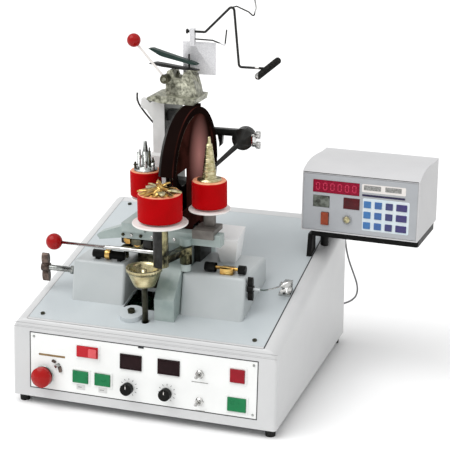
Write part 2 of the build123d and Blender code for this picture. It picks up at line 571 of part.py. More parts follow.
head_plate = prism_y([(-42, 588), (30, 588), (33, 600), (-52, 604), (-70, 599), (-72, 594)], -22, 58)
head_block = prism_y([(-38, 598), (-38, 640), (-34, 651), (-25, 652), (-20, 638), (-4, 635), (1, 650),
                      (12, 652), (20, 640), (26, 618), (30, 598)], 0, 38.5)
head_block -= block(-24, 4, 8, 30, 612, 660)
lower_blade = prism_y([(-80, 661), (-50, 656), (26, 650), (26, 653), (-46, 662), (-66, 664)], 12, 28)
lever_pin_at = (-34, 637)
lever_pin = rod((lever_pin_at[0], -22, lever_pin_at[1]), (lever_pin_at[0], 2, lever_pin_at[1]), 4)
blade_pin = post(6, 20, 648, 684, 2)
parts["head_casting"] = joined(head_plate, head_block, lower_blade, lever_pin, blade_pin)

lever_ball = (-101, -11, 712)
upper_hub = rod((lever_pin_at[0], -19, lever_pin_at[1]), (lever_pin_at[0], -2, lever_pin_at[1]), 9)
upper_rod = rod((lever_pin_at[0], -11, lever_pin_at[1]), lever_ball, 2.5)
upper = joined(upper_hub, upper_rod, ball(*lever_ball, 14))
lever_bore = rod((lever_pin_at[0], -30, lever_pin_at[1]), (lever_pin_at[0], 5, lever_pin_at[1]), 4 + turn_gap)
parts["upper_lever"] = upper - lever_bore
blade = prism_y([(-80, 692), (-72, 693), (-40, 684), (20, 668), (26, 664), (18, 663), (-46, 676), (-56, 679)],
                13, 27)
parts["guide_blade"] = blade - post(6, 20, 600, 720, 2 + turn_gap)

guide_y, guide_z, guide_radius = 40, 727, 2.5
guide = joined(block(-14, 56, 38.5, 41.5, 640, 706), block(2, 12, 35, 45, 698, guide_z + 6))
guide -= axle(0, 14, guide_y, guide_z, guide_radius + turn_gap)
low_wire = wire([(8, guide_y, 712), (50, guide_y, 711), (76, guide_y, 702), (80, guide_y, 734)], 1.5, 3)
parts["guide_plate"] = joined(guide, low_wire)
frame_wire = wire([(-4, guide_y, guide_z), (34, guide_y, guide_z), (95, guide_y, 786), (106, guide_y, 660),
                   (160, guide_y, 660)], guide_radius, 6)
thin_wire = wire([(87, guide_y, 778), (101, guide_y, 782), (126, guide_y, 772), (137, guide_y, 763),
                  (142, guide_y, 780), (139, guide_y, 798)], 1.4, 3)
pad_ends = [(146, guide_y, 643), (187, guide_y, 677)]
pad = joined(rod(*pad_ends, 7), *[ball(*end, 7) for end in pad_ends])
parts["wire_guide"] = joined(frame_wire, thin_wire, pad, axle(-6, -3, guide_y, guide_z, 5))

for name in ("head_casting", "upper_lever", "guide_blade", "guide_plate", "wire_guide"):
    parts[name] = head_lift * parts[name]

bar_y0, bar_y1, bar_z0, bar_z1 = 91, 104, 502, 516
bracket = joined(block(column_right, 100, bar_y0, bar_y1, bar_z0, bar_z1),
                 rod((98, 84, 498), (98, 112, 498), 23),
                 rod((92, 94, 490), (50, 34, 446), 6, 4),
                 rod((50, 34, 446), (hood_right + shield_thick, 34, 446), 7),
                 prism_y([(40, 504), (52, 504), (50, 482), (44, 476), (44, 486)], 92, 102))
screw_ends = [joined(axle(118, 128, 94, z, 5), axle(126, 134, 94, z, 8)) for z in (486, 508)]
parts["right_bracket"] = joined(bracket, *screw_ends)

# ---------------------------------------------------------------- signal lead with its clamp on the table edge
clamp_x, clamp_y = 240, -53
clamp_z = table_z(clamp_y)
clamp = joined(block(clamp_x - 8, clamp_x + 8, clamp_y - 10, clamp_y + 10, clamp_z + 3, clamp_z + 26),
               rod((clamp_x, clamp_y, clamp_z + 12), (clamp_x - 14, clamp_y - 6, clamp_z + 20), 6))
for lean_x in (-7, 7):
    leg_end = (clamp_x + lean_x, clamp_y - 30, clamp_z + 12)
    clamp = joined(clamp, rod((clamp_x, clamp_y - 8, clamp_z + 10), leg_end, 2.5))
foot_plate = table * Pos(clamp_x - 4, (clamp_y - table_front_y) / cos(table_slope), 2) * Box(24, 24, 4)
lead = wire([(right_x1 + 28, knob_y + 8, knob_z), (right_x1 + 36, knob_y + 8, knob_z), (224, -112, 250),
             (228, -86, 245), (clamp_x - 7, clamp_y - 4, clamp_z + 16)], 1.6, 3)
parts["side_lead"] = joined(lead, clamp, foot_plate)

# ---------------------------------------------------------------- counter box
face_back = 7
roof = Spline((0, face_back, counter_front), (0, 34, counter_front + 11), (0, 84, counter_rear + 3),
              (0, counter_depth, counter_rear))
outline = make_face(Wire([roof.edge()] + [Edge.make_line(a, b) for a, b in (
    ((0, counter_depth, counter_rear), (0, counter_depth, 0)), ((0, counter_depth, 0), (0, 0, 0)),
    ((0, 0, 0), (0, face_back, counter_front)))]))
case = extrude(outline, amount=counter_width, dir=(1, 0, 0))
case_wall, face_thick = 2.5, 3
hollow = prism_x([(-5, case_wall), (face_back - 5, counter_front - 3), (face_back + 12, counter_front - 2),
                  (90, counter_rear - case_wall - 2), (counter_depth - case_wall, counter_rear - case_wall - 2),
                  (counter_depth - case_wall, case_wall)], case_wall, counter_width - case_wall)
box_gland = (46, 36)
case = case - hollow - rod((box_gland[0], counter_depth - 9, box_gland[1]),
                           (box_gland[0], counter_depth + 5, box_gland[1]), gland_radius + 0.2)
for i in range(7):
    case -= block(100, 220, counter_depth - 9, counter_depth + 5, 30 + 10 * i, 34 + 10 * i)
parts["counter_shell"] = counter * case

lean = atan2(face_back, counter_front)
front = Plane((0, 0, 0), x_dir=(1, 0, 0), z_dir=(0, -cos(lean), sin(lean)))
face_height = counter_front / cos(lean) - 2 * case_wall - 2
plate_w = counter_width - 2 * case_wall - 2 * gap
face_plate = Pos(counter_width / 2, case_wall + 1 + face_height / 2, -face_thick / 2 - 0.5) * Box(
    plate_w, face_height, face_thick)
display_main, display_left, display_right = (73, 97, 100, 27), (42, 65, 36, 25), (107, 66, 35, 24)
key_columns, key_rows, key_size = (141, 164, 187, 213), (68, 46, 24), (15, 14)
for x, v, w, h in (display_main, display_left, display_right):
    face_plate -= Pos(x, v, -0.5) * Box(w, h, 2)
for x in key_columns:
    for v in key_rows:
        key_w = key_size[0] * (1.5 if x == key_columns[-1] else 1)
        face_plate = joined(face_plate, Pos(x, v, -0.1) * Box(key_w, key_size[1], 1))
round_switch_at = (99, 32)
box_rocker_at, box_rocker_size = (51, 29), (16, 27)
face_plate -= Pos(*box_rocker_at, 0) * Box(box_rocker_size[0] + 1, box_rocker_size[1] + 1, 20)
face_plate = joined(face_plate, Pos(*round_switch_at, 0.6) * Cylinder(9, 4))
parts["counter_face"] = counter * front * face_plate
box_rocker_radius = box_rocker_size[1] / 2 - slide_gap
box_rocker = Rot(0, 90, 0) * Cylinder(box_rocker_radius, box_rocker_size[0] - 2 * slide_gap)
box_rocker = box_rocker & slab(60, 60, -5, 4)
parts["counter_rocker"] = counter * front * Pos(*box_rocker_at, 0) * box_rocker

tray_thick = 18
tray = block(14, counter_width - 3, 21, counter_depth - 3, -tray_thick, 0)
tray = counter * fillet(tray.edges().filter_by(Axis.Z), 6)
post_x, post_radius = 262, 9
tray_foot = counter_corner[2] - tray_thick
post_places = (back_y - 115, back_y - 50)
posts = [post(post_x, y, table_z(y) - 3, tray_foot + 1, post_radius) - body for y in post_places]
strap_y = back_y - 173
strap_end = strap_y + 36
strap = prism_x([(strap_y, table_z(strap_y)), (strap_end, table_z(strap_end)), (strap_end, tray_foot + 2),
                 (strap_y + 12, tray_foot + 2)], 238, 248)
parts["counter_tray"] = joined(tray, *posts, strap)

# ---------------------------------------------------------------- rear connectors and the counter's cable
gland_length = 12


def gland(x, z, wall_y, inside):
    """A cable gland through a rear wall: its body, and the collar outside."""
    body_run = rod((x, wall_y - inside, z), (x, wall_y + gland_length, z), gland_radius)
    return joined(body_run, rod((x, wall_y, z), (x, wall_y + 5, z), gland_radius + 3))


console_gland = gland(*gland_at, back_y, 10)
case_gland = counter * gland(*box_gland, counter_depth, 8)


def at_inlet(half_x, half_z, y0, y1, shift=0):
    """A block centred on the mains inlet, across and up."""
    x, z = inlet_at
    return block(x + shift - half_x, x + shift + half_x, y0, y1, z - half_z, z + half_z)


inlet = joined(at_inlet(13.5, 9.5, back_y - 24, back_y + 1), at_inlet(24, 14, back_y, back_y + 2.5))
inlet -= at_inlet(11.5, 7.5, back_y - 16, back_y + 5)
inlet = joined(inlet, *[at_inlet(1, 2, back_y - 17, back_y - 3, shift) for shift in (-7, 0, 7)])
parts["rear_connectors"] = group(console_gland, case_gland, inlet)

cable_exit = (gland_at[0], back_y + gland_length, gland_at[1])
entry = counter.from_local_coords(Vector(box_gland[0], counter_depth + gland_length, box_gland[1]))
cable_end = (entry.X, entry.Y, entry.Z)
exit_lead, entry_lead = 18, 22                # straight stretches at the glands
last_point = entry + entry_lead * counter.y_dir
route = [cable_exit, (cable_exit[0], cable_exit[1] + exit_lead, cable_exit[2]), (255, 308, 66), (270, 315, 69),
         (287, 313, 79), (300, 306, 96), (303, 298, 122), (294, 293, 152), (281, 292, 186), (273, 293, 224),
         (270, 296, 264), (271, 299, 300), (276, 299, 330), (282, 291, 346),
         (last_point.X, last_point.Y, last_point.Z), cable_end]


def corner_radii(points):
    """Arc radius at each inner point: 0.45 of the shorter run over the tangent of half the turn."""
    radii = []
    for before, here, after in zip(points, points[1:], points[2:]):
        run_in, run_out = Vector(*here) - Vector(*before), Vector(*after) - Vector(*here)
        turn = radians(run_in.get_angle(run_out))
        radii.append(0.45 * min(run_in.length, run_out.length) / tan(turn / 2))
    return radii


radii = corner_radii(route)
print("cable radii", [round(r, 1) for r in radii])
cable_path = FilletPolyline(*route, radius=radii)
cable_section = Plane(route[0], z_dir=Vector(*route[1]) - Vector(*route[0])) * Circle(cable_radius)
cable = sweep(cable_section, path=cable_path)
print("cable length", round(cable_path.length), "volume over section x length",
      round(cable.volume / (pi * cable_radius ** 2 * cable_path.length), 4))
parts["interconnect_cable"] = cable

# ---------------------------------------------------------------- origin at the centre of the machine's base
extent = group(*parts.values()).bounding_box()
to_origin = Vector(-(extent.min.X + extent.max.X) / 2, -(extent.min.Y + extent.max.Y) / 2, 0)
print("moved to the origin by", to_origin)
for name, shape in parts.items():
    export_step(Pos(*to_origin) * shape, f"parts/{name}.step")
print(len(parts), "nodes")
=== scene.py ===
"""Looks of the bench-top toroidal coil winder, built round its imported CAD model.

Places are in millimetres from the centre of the console's footprint on the bench, as in the CAD source;
at() turns them into the frame's metres.
"""
import json
from math import atan2, cos, pi, radians, sin

import bmesh
import bpy
from mathutils import Matrix, Vector


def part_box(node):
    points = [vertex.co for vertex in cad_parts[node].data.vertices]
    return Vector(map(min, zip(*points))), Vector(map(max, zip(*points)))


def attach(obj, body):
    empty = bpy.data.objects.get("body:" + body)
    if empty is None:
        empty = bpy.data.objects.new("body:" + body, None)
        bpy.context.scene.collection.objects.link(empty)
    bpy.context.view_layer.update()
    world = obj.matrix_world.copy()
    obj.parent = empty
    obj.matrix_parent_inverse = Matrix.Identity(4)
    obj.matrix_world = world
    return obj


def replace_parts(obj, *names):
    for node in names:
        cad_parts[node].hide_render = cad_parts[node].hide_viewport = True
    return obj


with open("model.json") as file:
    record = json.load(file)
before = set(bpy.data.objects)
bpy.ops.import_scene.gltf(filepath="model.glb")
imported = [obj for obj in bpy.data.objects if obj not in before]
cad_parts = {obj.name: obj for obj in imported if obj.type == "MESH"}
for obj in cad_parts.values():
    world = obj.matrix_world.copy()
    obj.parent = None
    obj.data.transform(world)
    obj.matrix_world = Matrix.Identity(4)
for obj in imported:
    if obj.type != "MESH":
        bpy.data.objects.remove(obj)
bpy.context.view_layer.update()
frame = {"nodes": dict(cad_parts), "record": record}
nodes = frame["nodes"]
body_of_node = {n: body for body, names in frame["record"]["behaviour"]["bodies"].items() for n in names}

low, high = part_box("console_shell")
home = Vector(((low.x + high.x) / 2, (low.y + high.y) / 2, 0))
MM = 0.001


def at(x, y, z):
    return home + Vector((x, y, z)) * MM


def place(origin, right, up, out):
    """Matrix from local millimetres (right, up, out) to the frame's metres."""
    turn = Matrix((right, up, out)).transposed().to_4x4()
    return Matrix.Translation(origin) @ turn @ Matrix.Scale(MM, 4)


# ------------------------------------------------------------------ places taken from the frame
FRONT_Y, FOOT = -265, 18
PANEL_LEAN = atan2(14.5, 161)
FACE = place(at(0, FRONT_Y, FOOT), (1, 0, 0), (0, sin(PANEL_LEAN), cos(PANEL_LEAN)),
             (0, -cos(PANEL_LEAN), sin(PANEL_LEAN)))
YAW, BOX_LEAN = radians(-3), atan2(7, 125)
BOX_RIGHT = Vector((cos(YAW), sin(YAW), 0))
BOX_BACK = Vector((-sin(YAW), cos(YAW), 0))
BOX_FACE = place(at(229, 80, 316), BOX_RIGHT, BOX_BACK * sin(BOX_LEAN) + Vector((0, 0, cos(BOX_LEAN))),
                 -BOX_BACK * cos(BOX_LEAN) + Vector((0, 0, sin(BOX_LEAN))))
ROLLER_FOOT, ROLLER_TOP = 411, 463
FLANGE_THICK, HUB_RADIUS = 8.1, 20.5
# each roller's axis, radius and the finish of its cap
ROLLERS = {"front": (36, -228, 43, "gold"), "left": (-52, -82, 32, "steel"),
           "right": (96, -115, 35, "cream_brass")}
RING_Y, RING_Z, HOOD_RADIUS = -35, 457, 130

# where one CAD piece changes from one finish to the next
CUP_FOOT = 265
CLAMP_LINK_X, CLAMP_BOSS_Y = 44, -160
WING_SHAFT_X = -247.9
PAD_END_X, PAD_X = 140, 148
SHEET_TOP, SHEET_WIRE_X = 706.1, 12.2
HEAD_TOP = 652.4
BRACKET_SCREWS_X = 117.9
LEAD_CLAMP_X = 222


# ------------------------------------------------------------------ materials
RELIEF_DEPTH = 0.0004


def material(name, colour, rough=0.45, metal=0.0, second=None, scale=60.0, contrast=0.5, bump=0.05,
             bump_scale=900.0, stretch=(1, 1, 1), coat=0.0, glow=0.0, side=None, spread=0.1, spec=0.5,
             painted_highlight=None):
    """A surface whose colour, roughness and relief vary with noise at the scale of the real finish; faces
    turned to +X can take a side colour, and a painted highlight can be blended in as a lighter spot.
    """
    made = bpy.data.materials.new(name)
    made.use_nodes = True
    tree = made.node_tree
    shader = tree.nodes["Principled BSDF"]
    shader.inputs["Metallic"].default_value = metal
    shader.inputs["Specular IOR Level"].default_value = spec
    shader.inputs["Coat Weight"].default_value = coat
    shader.inputs["Coat Roughness"].default_value = 0.08
    if glow:
        shader.inputs["Emission Color"].default_value = (*colour, 1)
        shader.inputs["Emission Strength"].default_value = glow
    coordinates = tree.nodes.new("ShaderNodeTexCoord")
    mapping = tree.nodes.new("ShaderNodeMapping")
    mapping.inputs["Scale"].default_value = stretch
    tree.links.new(coordinates.outputs["Object"], mapping.inputs["Vector"])

    def noise(size, detail):
        node = tree.nodes.new("ShaderNodeTexNoise")
        node.inputs["Scale"].default_value = size
        node.inputs["Detail"].default_value = detail
        tree.links.new(mapping.outputs["Vector"], node.inputs["Vector"])
        return node

    broad = noise(scale, 6)
    ramp = tree.nodes.new("ShaderNodeValToRGB")
    ramp.color_ramp.elements[0].position = 0.5 - contrast / 2
    ramp.color_ramp.elements[1].position = 0.5 + contrast / 2
    ramp.color_ramp.elements[0].color = (*(second or [c * 0.9 for c in colour]), 1)
    ramp.color_ramp.elements[1].color = (*colour, 1)
    tree.links.new(broad.outputs["Fac"], ramp.inputs["Fac"])
    result = ramp.outputs["Color"]
    # faces turned to +X take the side colour; on the counter box this is painted shade
    if side:
        split = tree.nodes.new("ShaderNodeSeparateXYZ")
        tree.links.new(coordinates.outputs["Normal"], split.inputs["Vector"])
        step = tree.nodes.new("ShaderNodeMath")
        step.operation = "GREATER_THAN"
        step.inputs[1].default_value = 0.5
        tree.links.new(split.outputs["X"], step.inputs[0])
        mix = tree.nodes.new("ShaderNodeMix")
        mix.data_type = "RGBA"
        mix.inputs[7].default_value = (*side, 1)
        tree.links.new(step.outputs["Value"], mix.inputs["Factor"])
        tree.links.new(result, mix.inputs[6])
        result = mix.outputs[2]
    # painted highlight: the lit colour blended in round a spot, full at its centre and gone at its reach
    if painted_highlight:
        centre, reach, lit = painted_highlight
        shift = tree.nodes.new("ShaderNodeMapping")
        shift.inputs["Scale"].default_value = [1 / r for r in reach]
        shift.inputs["Location"].default_value = [-c / r for c, r in zip(centre, reach)]
        tree.links.new(coordinates.outputs["Object"], shift.inputs["Vector"])
        fall = tree.nodes.new("ShaderNodeTexGradient")
        fall.gradient_type = "SPHERICAL"
        tree.links.new(shift.outputs["Vector"], fall.inputs["Vector"])
        blend = tree.nodes.new("ShaderNodeMix")
        blend.data_type = "RGBA"
        blend.inputs[7].default_value = (*lit, 1)
        tree.links.new(fall.outputs["Color"], blend.inputs["Factor"])
        tree.links.new(result, blend.inputs[6])
        result = blend.outputs[2]
    tree.links.new(result, shader.inputs["Base Color"])
    spans = tree.nodes.new("ShaderNodeMapRange")
    spans.inputs["To Min"].default_value = max(0.03, rough - spread)
    spans.inputs["To Max"].default_value = min(1.0, rough + spread)
    tree.links.new(broad.outputs["Fac"], spans.inputs["Value"])
    tree.links.new(spans.outputs["Result"], shader.inputs["Roughness"])
    relief = tree.nodes.new("ShaderNodeBump")
    relief.inputs["Strength"].default_value = bump
    relief.inputs["Distance"].default_value = RELIEF_DEPTH
    tree.links.new(noise(bump_scale, 3).outputs["Fac"], relief.inputs["Height"])
    tree.links.new(relief.outputs["Normal"], shader.inputs["Normal"])
    return made


GUARD_X = (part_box("ring_shield")[1].x - home.x) / MM  # outer side of the guard's shield
M = {
    "console": material("console_paint", (0.61, 0.615, 0.615), 0.42, second=(0.56, 0.565, 0.57), scale=14,
                        bump=0.12, bump_scale=1500, coat=0.1),
    "table": material("table_paint", (0.53, 0.57, 0.585), 0.38, second=(0.475, 0.52, 0.54), scale=9,
                      bump=0.12, bump_scale=1500, coat=0.12),
    "housing": material("housing_paint", (0.50, 0.53, 0.535), 0.36, second=(0.44, 0.475, 0.48), scale=14,
                        bump=0.15, bump_scale=1200, coat=0.15),
    "casting": material("casting_green", (0.40, 0.46, 0.445), 0.38, second=(0.22, 0.285, 0.27), scale=22,
                        contrast=0.4, bump=0.35, bump_scale=420, coat=0.15),
    "column": material("column_paint", (0.76, 0.76, 0.745), 0.5, second=(0.66, 0.665, 0.65), scale=40,
                       contrast=0.5, bump=0.3, bump_scale=500, side=(0.13, 0.14, 0.12)),
    "cast_metal": material("machined_casting", (0.46, 0.46, 0.36), 0.4, 0.4, (0.10, 0.10, 0.07), 150, 0.3,
                           0.9, 260),
    "panel": material("panel_white", (0.86, 0.87, 0.855), 0.4, second=(0.80, 0.81, 0.80), scale=16,
                      bump=0.05),
    "white": material("white_enamel", (0.80, 0.77, 0.74), 0.3, second=(0.74, 0.70, 0.67), scale=40,
                      coat=0.4),
    "cover": material("cover_white", (0.88, 0.88, 0.875), 0.36, second=(0.80, 0.805, 0.81), scale=20,
                      bump=0.1, coat=0.2),
    "pale": material("pale_label", (0.66, 0.66, 0.65), 0.45, second=(0.58, 0.58, 0.575), scale=90,
                     bump=0.05),
    "black": material("black_plastic", (0.004, 0.004, 0.004), 0.42, second=(0.008, 0.008, 0.007), scale=80,
                      bump=0.2, spec=0.12),
    "black_gloss": material("hood_black", (0.005, 0.003, 0.003), 0.5, second=(0.010, 0.005, 0.004),
                            scale=12, bump=0.04, spec=0.0),
    # the guard's shield: dark red, with a pinkish painted highlight round a spot in its middle
    "shield": material("shield_tint_painted_highlight", (0.050, 0.014, 0.011), 0.5, second=(0.008, 0.003, 0.002), scale=16,
                       contrast=0.3, bump=0.02, spec=0.0,
                       painted_highlight=(at(GUARD_X, -14, 486), (0.05, 0.062, 0.085), (0.42, 0.19, 0.17))),
    "black_metal": material("black_metal", (0.008, 0.008, 0.007), 0.36, 0.2, (0.026, 0.026, 0.024), 90, 0.4,
                            0.4, 500, spec=0.3),
    "rubber": material("foot_rubber", (0.010, 0.010, 0.010), 0.7, second=(0.018, 0.018, 0.017), scale=120,
                       bump=0.4, spec=0.2),
    "red_rubber": material("roller_rubber", (0.43, 0.0, 0.002), 0.55, second=(0.36, 0.0, 0.001), scale=45,
                           bump=0.25, bump_scale=1400, spec=0.05),
    "tyre_top": material("tyre_top", (0.42, 0.06, 0.03), 0.6, second=(0.30, 0.02, 0.012), scale=120,
                         bump=0.3, spec=0.1),
    "rim": material("rubber_edge", (0.85, 0.44, 0.27), 0.5, second=(0.70, 0.22, 0.11), scale=90, bump=0.1,
                    spec=0.2),
    "gold": material("gold_brass", (0.72, 0.50, 0.17), 0.18, 1.0, (0.30, 0.13, 0.025), 75, 0.4, 0.35, 350),
    "brass": material("pale_brass", (0.74, 0.67, 0.42), 0.26, 1.0, (0.30, 0.25, 0.12), 60, 0.45, 0.25, 500),
    "cream_brass": material("cream_brass", (0.74, 0.67, 0.44), 0.3, 1.0, (0.30, 0.27, 0.11), 95, 0.35, 0.5,
                            400),
    "steel": material("turned_steel", (0.52, 0.54, 0.52), 0.26, 1.0, (0.22, 0.23, 0.22), 110, 0.35, 0.3,
                      700),
    "dark_steel": material("dark_steel", (0.13, 0.125, 0.085), 0.3, 1.0, (0.02, 0.02, 0.012), 55, 0.3, 0.4,
                           400),
    "olive": material("olive_metal", (0.34, 0.31, 0.17), 0.24, 1.0, (0.02, 0.02, 0.012), 42, 0.2, 0.4, 400),
    "brown_metal": material("brown_metal", (0.17, 0.125, 0.105), 0.34, 0.8, (0.035, 0.025, 0.02), 110, 0.35,
                            0.6, 300),
    "chrome": material("chrome", (0.72, 0.72, 0.70), 0.12, 1.0, (0.36, 0.36, 0.35), 60, 0.4, 0.05,
                       spread=0.05),
    "carriage": material("carriage_grey", (0.20, 0.185, 0.17), 0.45, 0.4, (0.10, 0.09, 0.08), 60, 0.4, 0.5,
                         500),
    "red_gloss": material("red_gloss", (0.37, 0.006, 0.006), 0.24, second=(0.30, 0.003, 0.003), scale=25,
                          bump=0.03, coat=0.15, spec=0.15),
    "lamp_red": material("lamp_red", (0.50, 0.012, 0.022), 0.3, second=(0.42, 0.008, 0.015), scale=60,
                         bump=0.1, coat=0.1, spec=0.2),
    "lamp_light": material("lamp_lit", (0.66, 0.08, 0.09), 0.3, second=(0.58, 0.05, 0.06), scale=60,
                           bump=0.1, coat=0.1),
    "deep_red": material("deep_red", (0.30, 0.002, 0.012), 0.3, second=(0.23, 0.001, 0.008), scale=60,
                         bump=0.1, coat=0.1, spec=0.2),
    "green": material("button_green", (0.006, 0.20, 0.065), 0.3, second=(0.004, 0.15, 0.05), scale=60,
                      bump=0.1, coat=0.1, spec=0.2),
    "display": material("display_black", (0.010, 0.004, 0.005), 0.2, second=(0.020, 0.008, 0.009), scale=50,
                        bump=0.03, spec=0.1),
    "blade": material("blade_green", (0.006, 0.020, 0.016), 0.34, 0.1, (0.014, 0.040, 0.032), 80, 0.5, 0.25,
                      600, spec=0.3),
    "plate": material("grainy_plate", (0.76, 0.76, 0.775), 0.5, second=(0.62, 0.62, 0.64), scale=500,
                      contrast=0.3, bump=0.3, bump_scale=700, spec=0.2),
    "felt": material("felt", (0.006, 0.006, 0.006), 0.95, second=(0.028, 0.027, 0.025), scale=500,
                     contrast=0.25, bump=0.9, bump_scale=900, spec=0.1),
    "magazine": material("magazine_ring", (0.022, 0.016, 0.015), 0.3, 0.5, (0.012, 0.008, 0.008), 60, 0.5,
                         0.15, spec=0.3),
    "nylon": material("nylon", (0.55, 0.53, 0.48), 0.5, second=(0.48, 0.46, 0.42), scale=60),
    # the counter box's grey paint, with its +X side painted darker as painted shade
    "counter": material("counter_paint", (0.57, 0.57, 0.575), 0.42, second=(0.53, 0.53, 0.54), scale=14,
                        bump=0.12, bump_scale=1500, coat=0.1, side=(0.44, 0.44, 0.445)),
    "face": material("face_metallic", (0.44, 0.455, 0.475), 0.36, 0.25, (0.37, 0.385, 0.405), 14, 0.5, 0.1),
    "keypad": material("keypad_ground", (0.58, 0.70, 0.76), 0.35, second=(0.70, 0.74, 0.76), scale=22,
                       bump=0.05),
    "led": material("led_red", (0.28, 0.004, 0.03), 0.35, second=(0.16, 0.002, 0.014), scale=220,
                    contrast=0.3, glow=0.1, bump=0.05, spec=0.15),
    "digit": material("led_digit", (0.55, 0.05, 0.10), 0.4, second=(0.42, 0.03, 0.07), scale=260, glow=0.25,
                      spec=0.1),
    "lcd": material("lcd_grey", (0.035, 0.038, 0.03), 0.25, second=(0.15, 0.165, 0.14), scale=75,
                    contrast=0.2, coat=0.1, spec=0.3),
    "dark_lcd": material("display_dark_red", (0.10, 0.006, 0.010), 0.25, second=(0.045, 0.002, 0.004),
                         scale=60, coat=0.1, spec=0.2),
    "orange": material("rocker_orange", (0.33, 0.06, 0.020), 0.3, second=(0.20, 0.03, 0.01), scale=90,
                       coat=0.15, spec=0.2),
    "ink": material("ink_grey", (0.20, 0.20, 0.19), 0.6, second=(0.34, 0.34, 0.33), scale=300, contrast=0.2,
                    spec=0.1),
    "navy_line": material("navy_line", (0.02, 0.018, 0.05), 0.4, second=(0.04, 0.035, 0.08), scale=90,
                          spec=0.2),
    "line": material("panel_line", (0.02, 0.022, 0.024), 0.5, second=(0.05, 0.052, 0.055), scale=90,
                     spec=0.2),
    "seam": material("seam_line", (0.30, 0.30, 0.30), 0.6, second=(0.40, 0.40, 0.40), scale=60, spec=0.2),
    "label": material("amber_label", (0.30, 0.20, 0.08), 0.35, 0.3, (0.14, 0.07, 0.02), 120),
    "cable": material("cable_grey", (0.22, 0.22, 0.225), 0.5, second=(0.17, 0.17, 0.175), scale=90,
                      spec=0.3),
    "lead": material("lead_grey", (0.10, 0.13, 0.12), 0.4, second=(0.07, 0.09, 0.085), scale=90, spec=0.3),
    "board": material("board_green", (0.02, 0.10, 0.04), 0.4, second=(0.03, 0.14, 0.06), scale=140),
    "motor": material("motor_grey", (0.07, 0.07, 0.075), 0.4, 0.4, (0.04, 0.04, 0.045), 60),
    "pan": material("pan_grey", (0.26, 0.27, 0.275), 0.45, 0.3, (0.22, 0.23, 0.235), 30),
}

NODE_MATERIAL = {
    "console_shell": "console", "base_pan": "pan", "rubber_feet": "rubber", "table_plate": "table",
    "cover_screws": "dark_steel", "control_panel": "panel", "roller_motor": "motor", "electronics": "board",
    "rear_connectors": "black", "left_housing": "housing", "right_housing": "housing", "pedestal": "casting",
    "column": "column", "ring_hood": "black_gloss", "ring_shield": "shield", "ring_frame": "black_metal",
    "ring_motor": "black_metal", "motor_cover": "cover", "counter_tray": "black", "counter_shell": "counter",
    "counter_face": "face", "magazine_ring": "magazine", "slider_ring": "steel", "ring_drive_wheel": "rubber",
    "guide_wheel_front": "nylon", "guide_wheel_rear": "nylon", "left_carriage": "casting",
    "right_carriage": "carriage", "front_roller": "red_rubber", "left_roller": "red_rubber",
    "right_roller": "red_rubber", "clamp_ball": "red_gloss", "drive_cup": "brass", "guide_blade": "blade",
    "stop_mushroom": "red_gloss", "power_rocker": "lamp_red", "start_button_left": "green",
    "start_button_right": "green", "stop_button": "deep_red", "run_button": "green", "speed_knob": "black",
    "tension_knob": "black", "toggle_upper": "chrome", "toggle_lower": "chrome", "counter_rocker": "orange",
    "right_knob": "black",
}
for node, key in NODE_MATERIAL.items():
    nodes[node].data.materials.clear()
    nodes[node].data.materials.append(M[key])


# ------------------------------------------------------------------ mesh helpers
def add(name, mesh, body, key, smooth_angle=35):
    """Puts a finished mesh, already in the frame's metres, on its body."""
    mesh.polygons.foreach_set("use_smooth", [True] * len(mesh.polygons))
    mesh.set_sharp_from_angle(angle=radians(smooth_angle))
    mesh.materials.clear()
    mesh.materials.append(M[key])
    piece = bpy.data.objects.new(name, mesh)
    bpy.context.scene.collection.objects.link(piece)
    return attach(piece, body)


def from_bmesh(name, bm, matrix=None):
    if matrix is not None:
        bm.transform(matrix)
    bmesh.ops.recalc_face_normals(bm, faces=bm.faces)
    mesh = bpy.data.meshes.new(name)
    bm.to_mesh(mesh)
    bm.free()
    return mesh


def section(node, name, key, *planes):
    """The stretch of a CAD node on the far side of each plane, closed at the cuts, with its own finish."""
    bm = bmesh.new()
    bm.from_mesh(nodes[node].data)
    bmesh.ops.remove_doubles(bm, verts=bm.verts, dist=1e-6)
    for point, normal in planes:
        everything = bm.verts[:] + bm.edges[:] + bm.faces[:]
        cut = bmesh.ops.bisect_plane(bm, geom=everything, dist=1e-7, plane_co=at(*point), plane_no=normal,
                                     clear_inner=True)
        edges = [e for e in cut["geom_cut"] if isinstance(e, bmesh.types.BMEdge)]
        if edges:
            bmesh.ops.holes_fill(bm, edges=edges, sides=0)
    piece = add(name, from_bmesh(name, bm), body_of_node[node], key)
    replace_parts(piece, node)
    return piece


def between(axis, start, end):
    """Two planes that keep what lies between two places on an axis."""
    normal = [0, 0, 0]
    normal["xyz".index(axis)] = 1
    planes = []
    if start is not None:
        planes.append(([start * n for n in normal], normal))
    if end is not None:
        planes.append(([end * n for n in normal], [-n for n in normal]))
    return planes


def islands(node, chooser):
    """Each solid of a CAD node as its own piece; chooser gives its name and finish from its centre."""
    bm = bmesh.new()
    bm.from_mesh(nodes[node].data)
    bmesh.ops.remove_doubles(bm, verts=bm.verts, dist=1e-6)
    left = set(bm.verts)
    groups = []
    for seed in bm.verts:  # in mesh order, so that each run makes the pieces in the same order
        if seed not in left:
            continue
        left.remove(seed)
        stack, group = [seed], []
        while stack:
            vert = stack.pop()
            group.append(vert)
            for edge in vert.link_edges:
                other = edge.other_vert(vert)
                if other in left:
                    left.remove(other)
                    stack.append(other)
        groups.append({v.index for v in group})
    bm.free()
    for group in groups:
        part = bmesh.new()
        part.from_mesh(nodes[node].data)
        bmesh.ops.remove_doubles(part, verts=part.verts, dist=1e-6)
        bmesh.ops.delete(part, geom=[v for v in part.verts if v.index not in group], context="VERTS")
        corners = [v.co for v in part.verts]
        centre = (Vector(map(min, *corners)) + Vector(map(max, *corners))) / 2 - home
        name, key = chooser(centre / MM)
        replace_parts(add(name, from_bmesh(name, part), body_of_node[node], key), node)


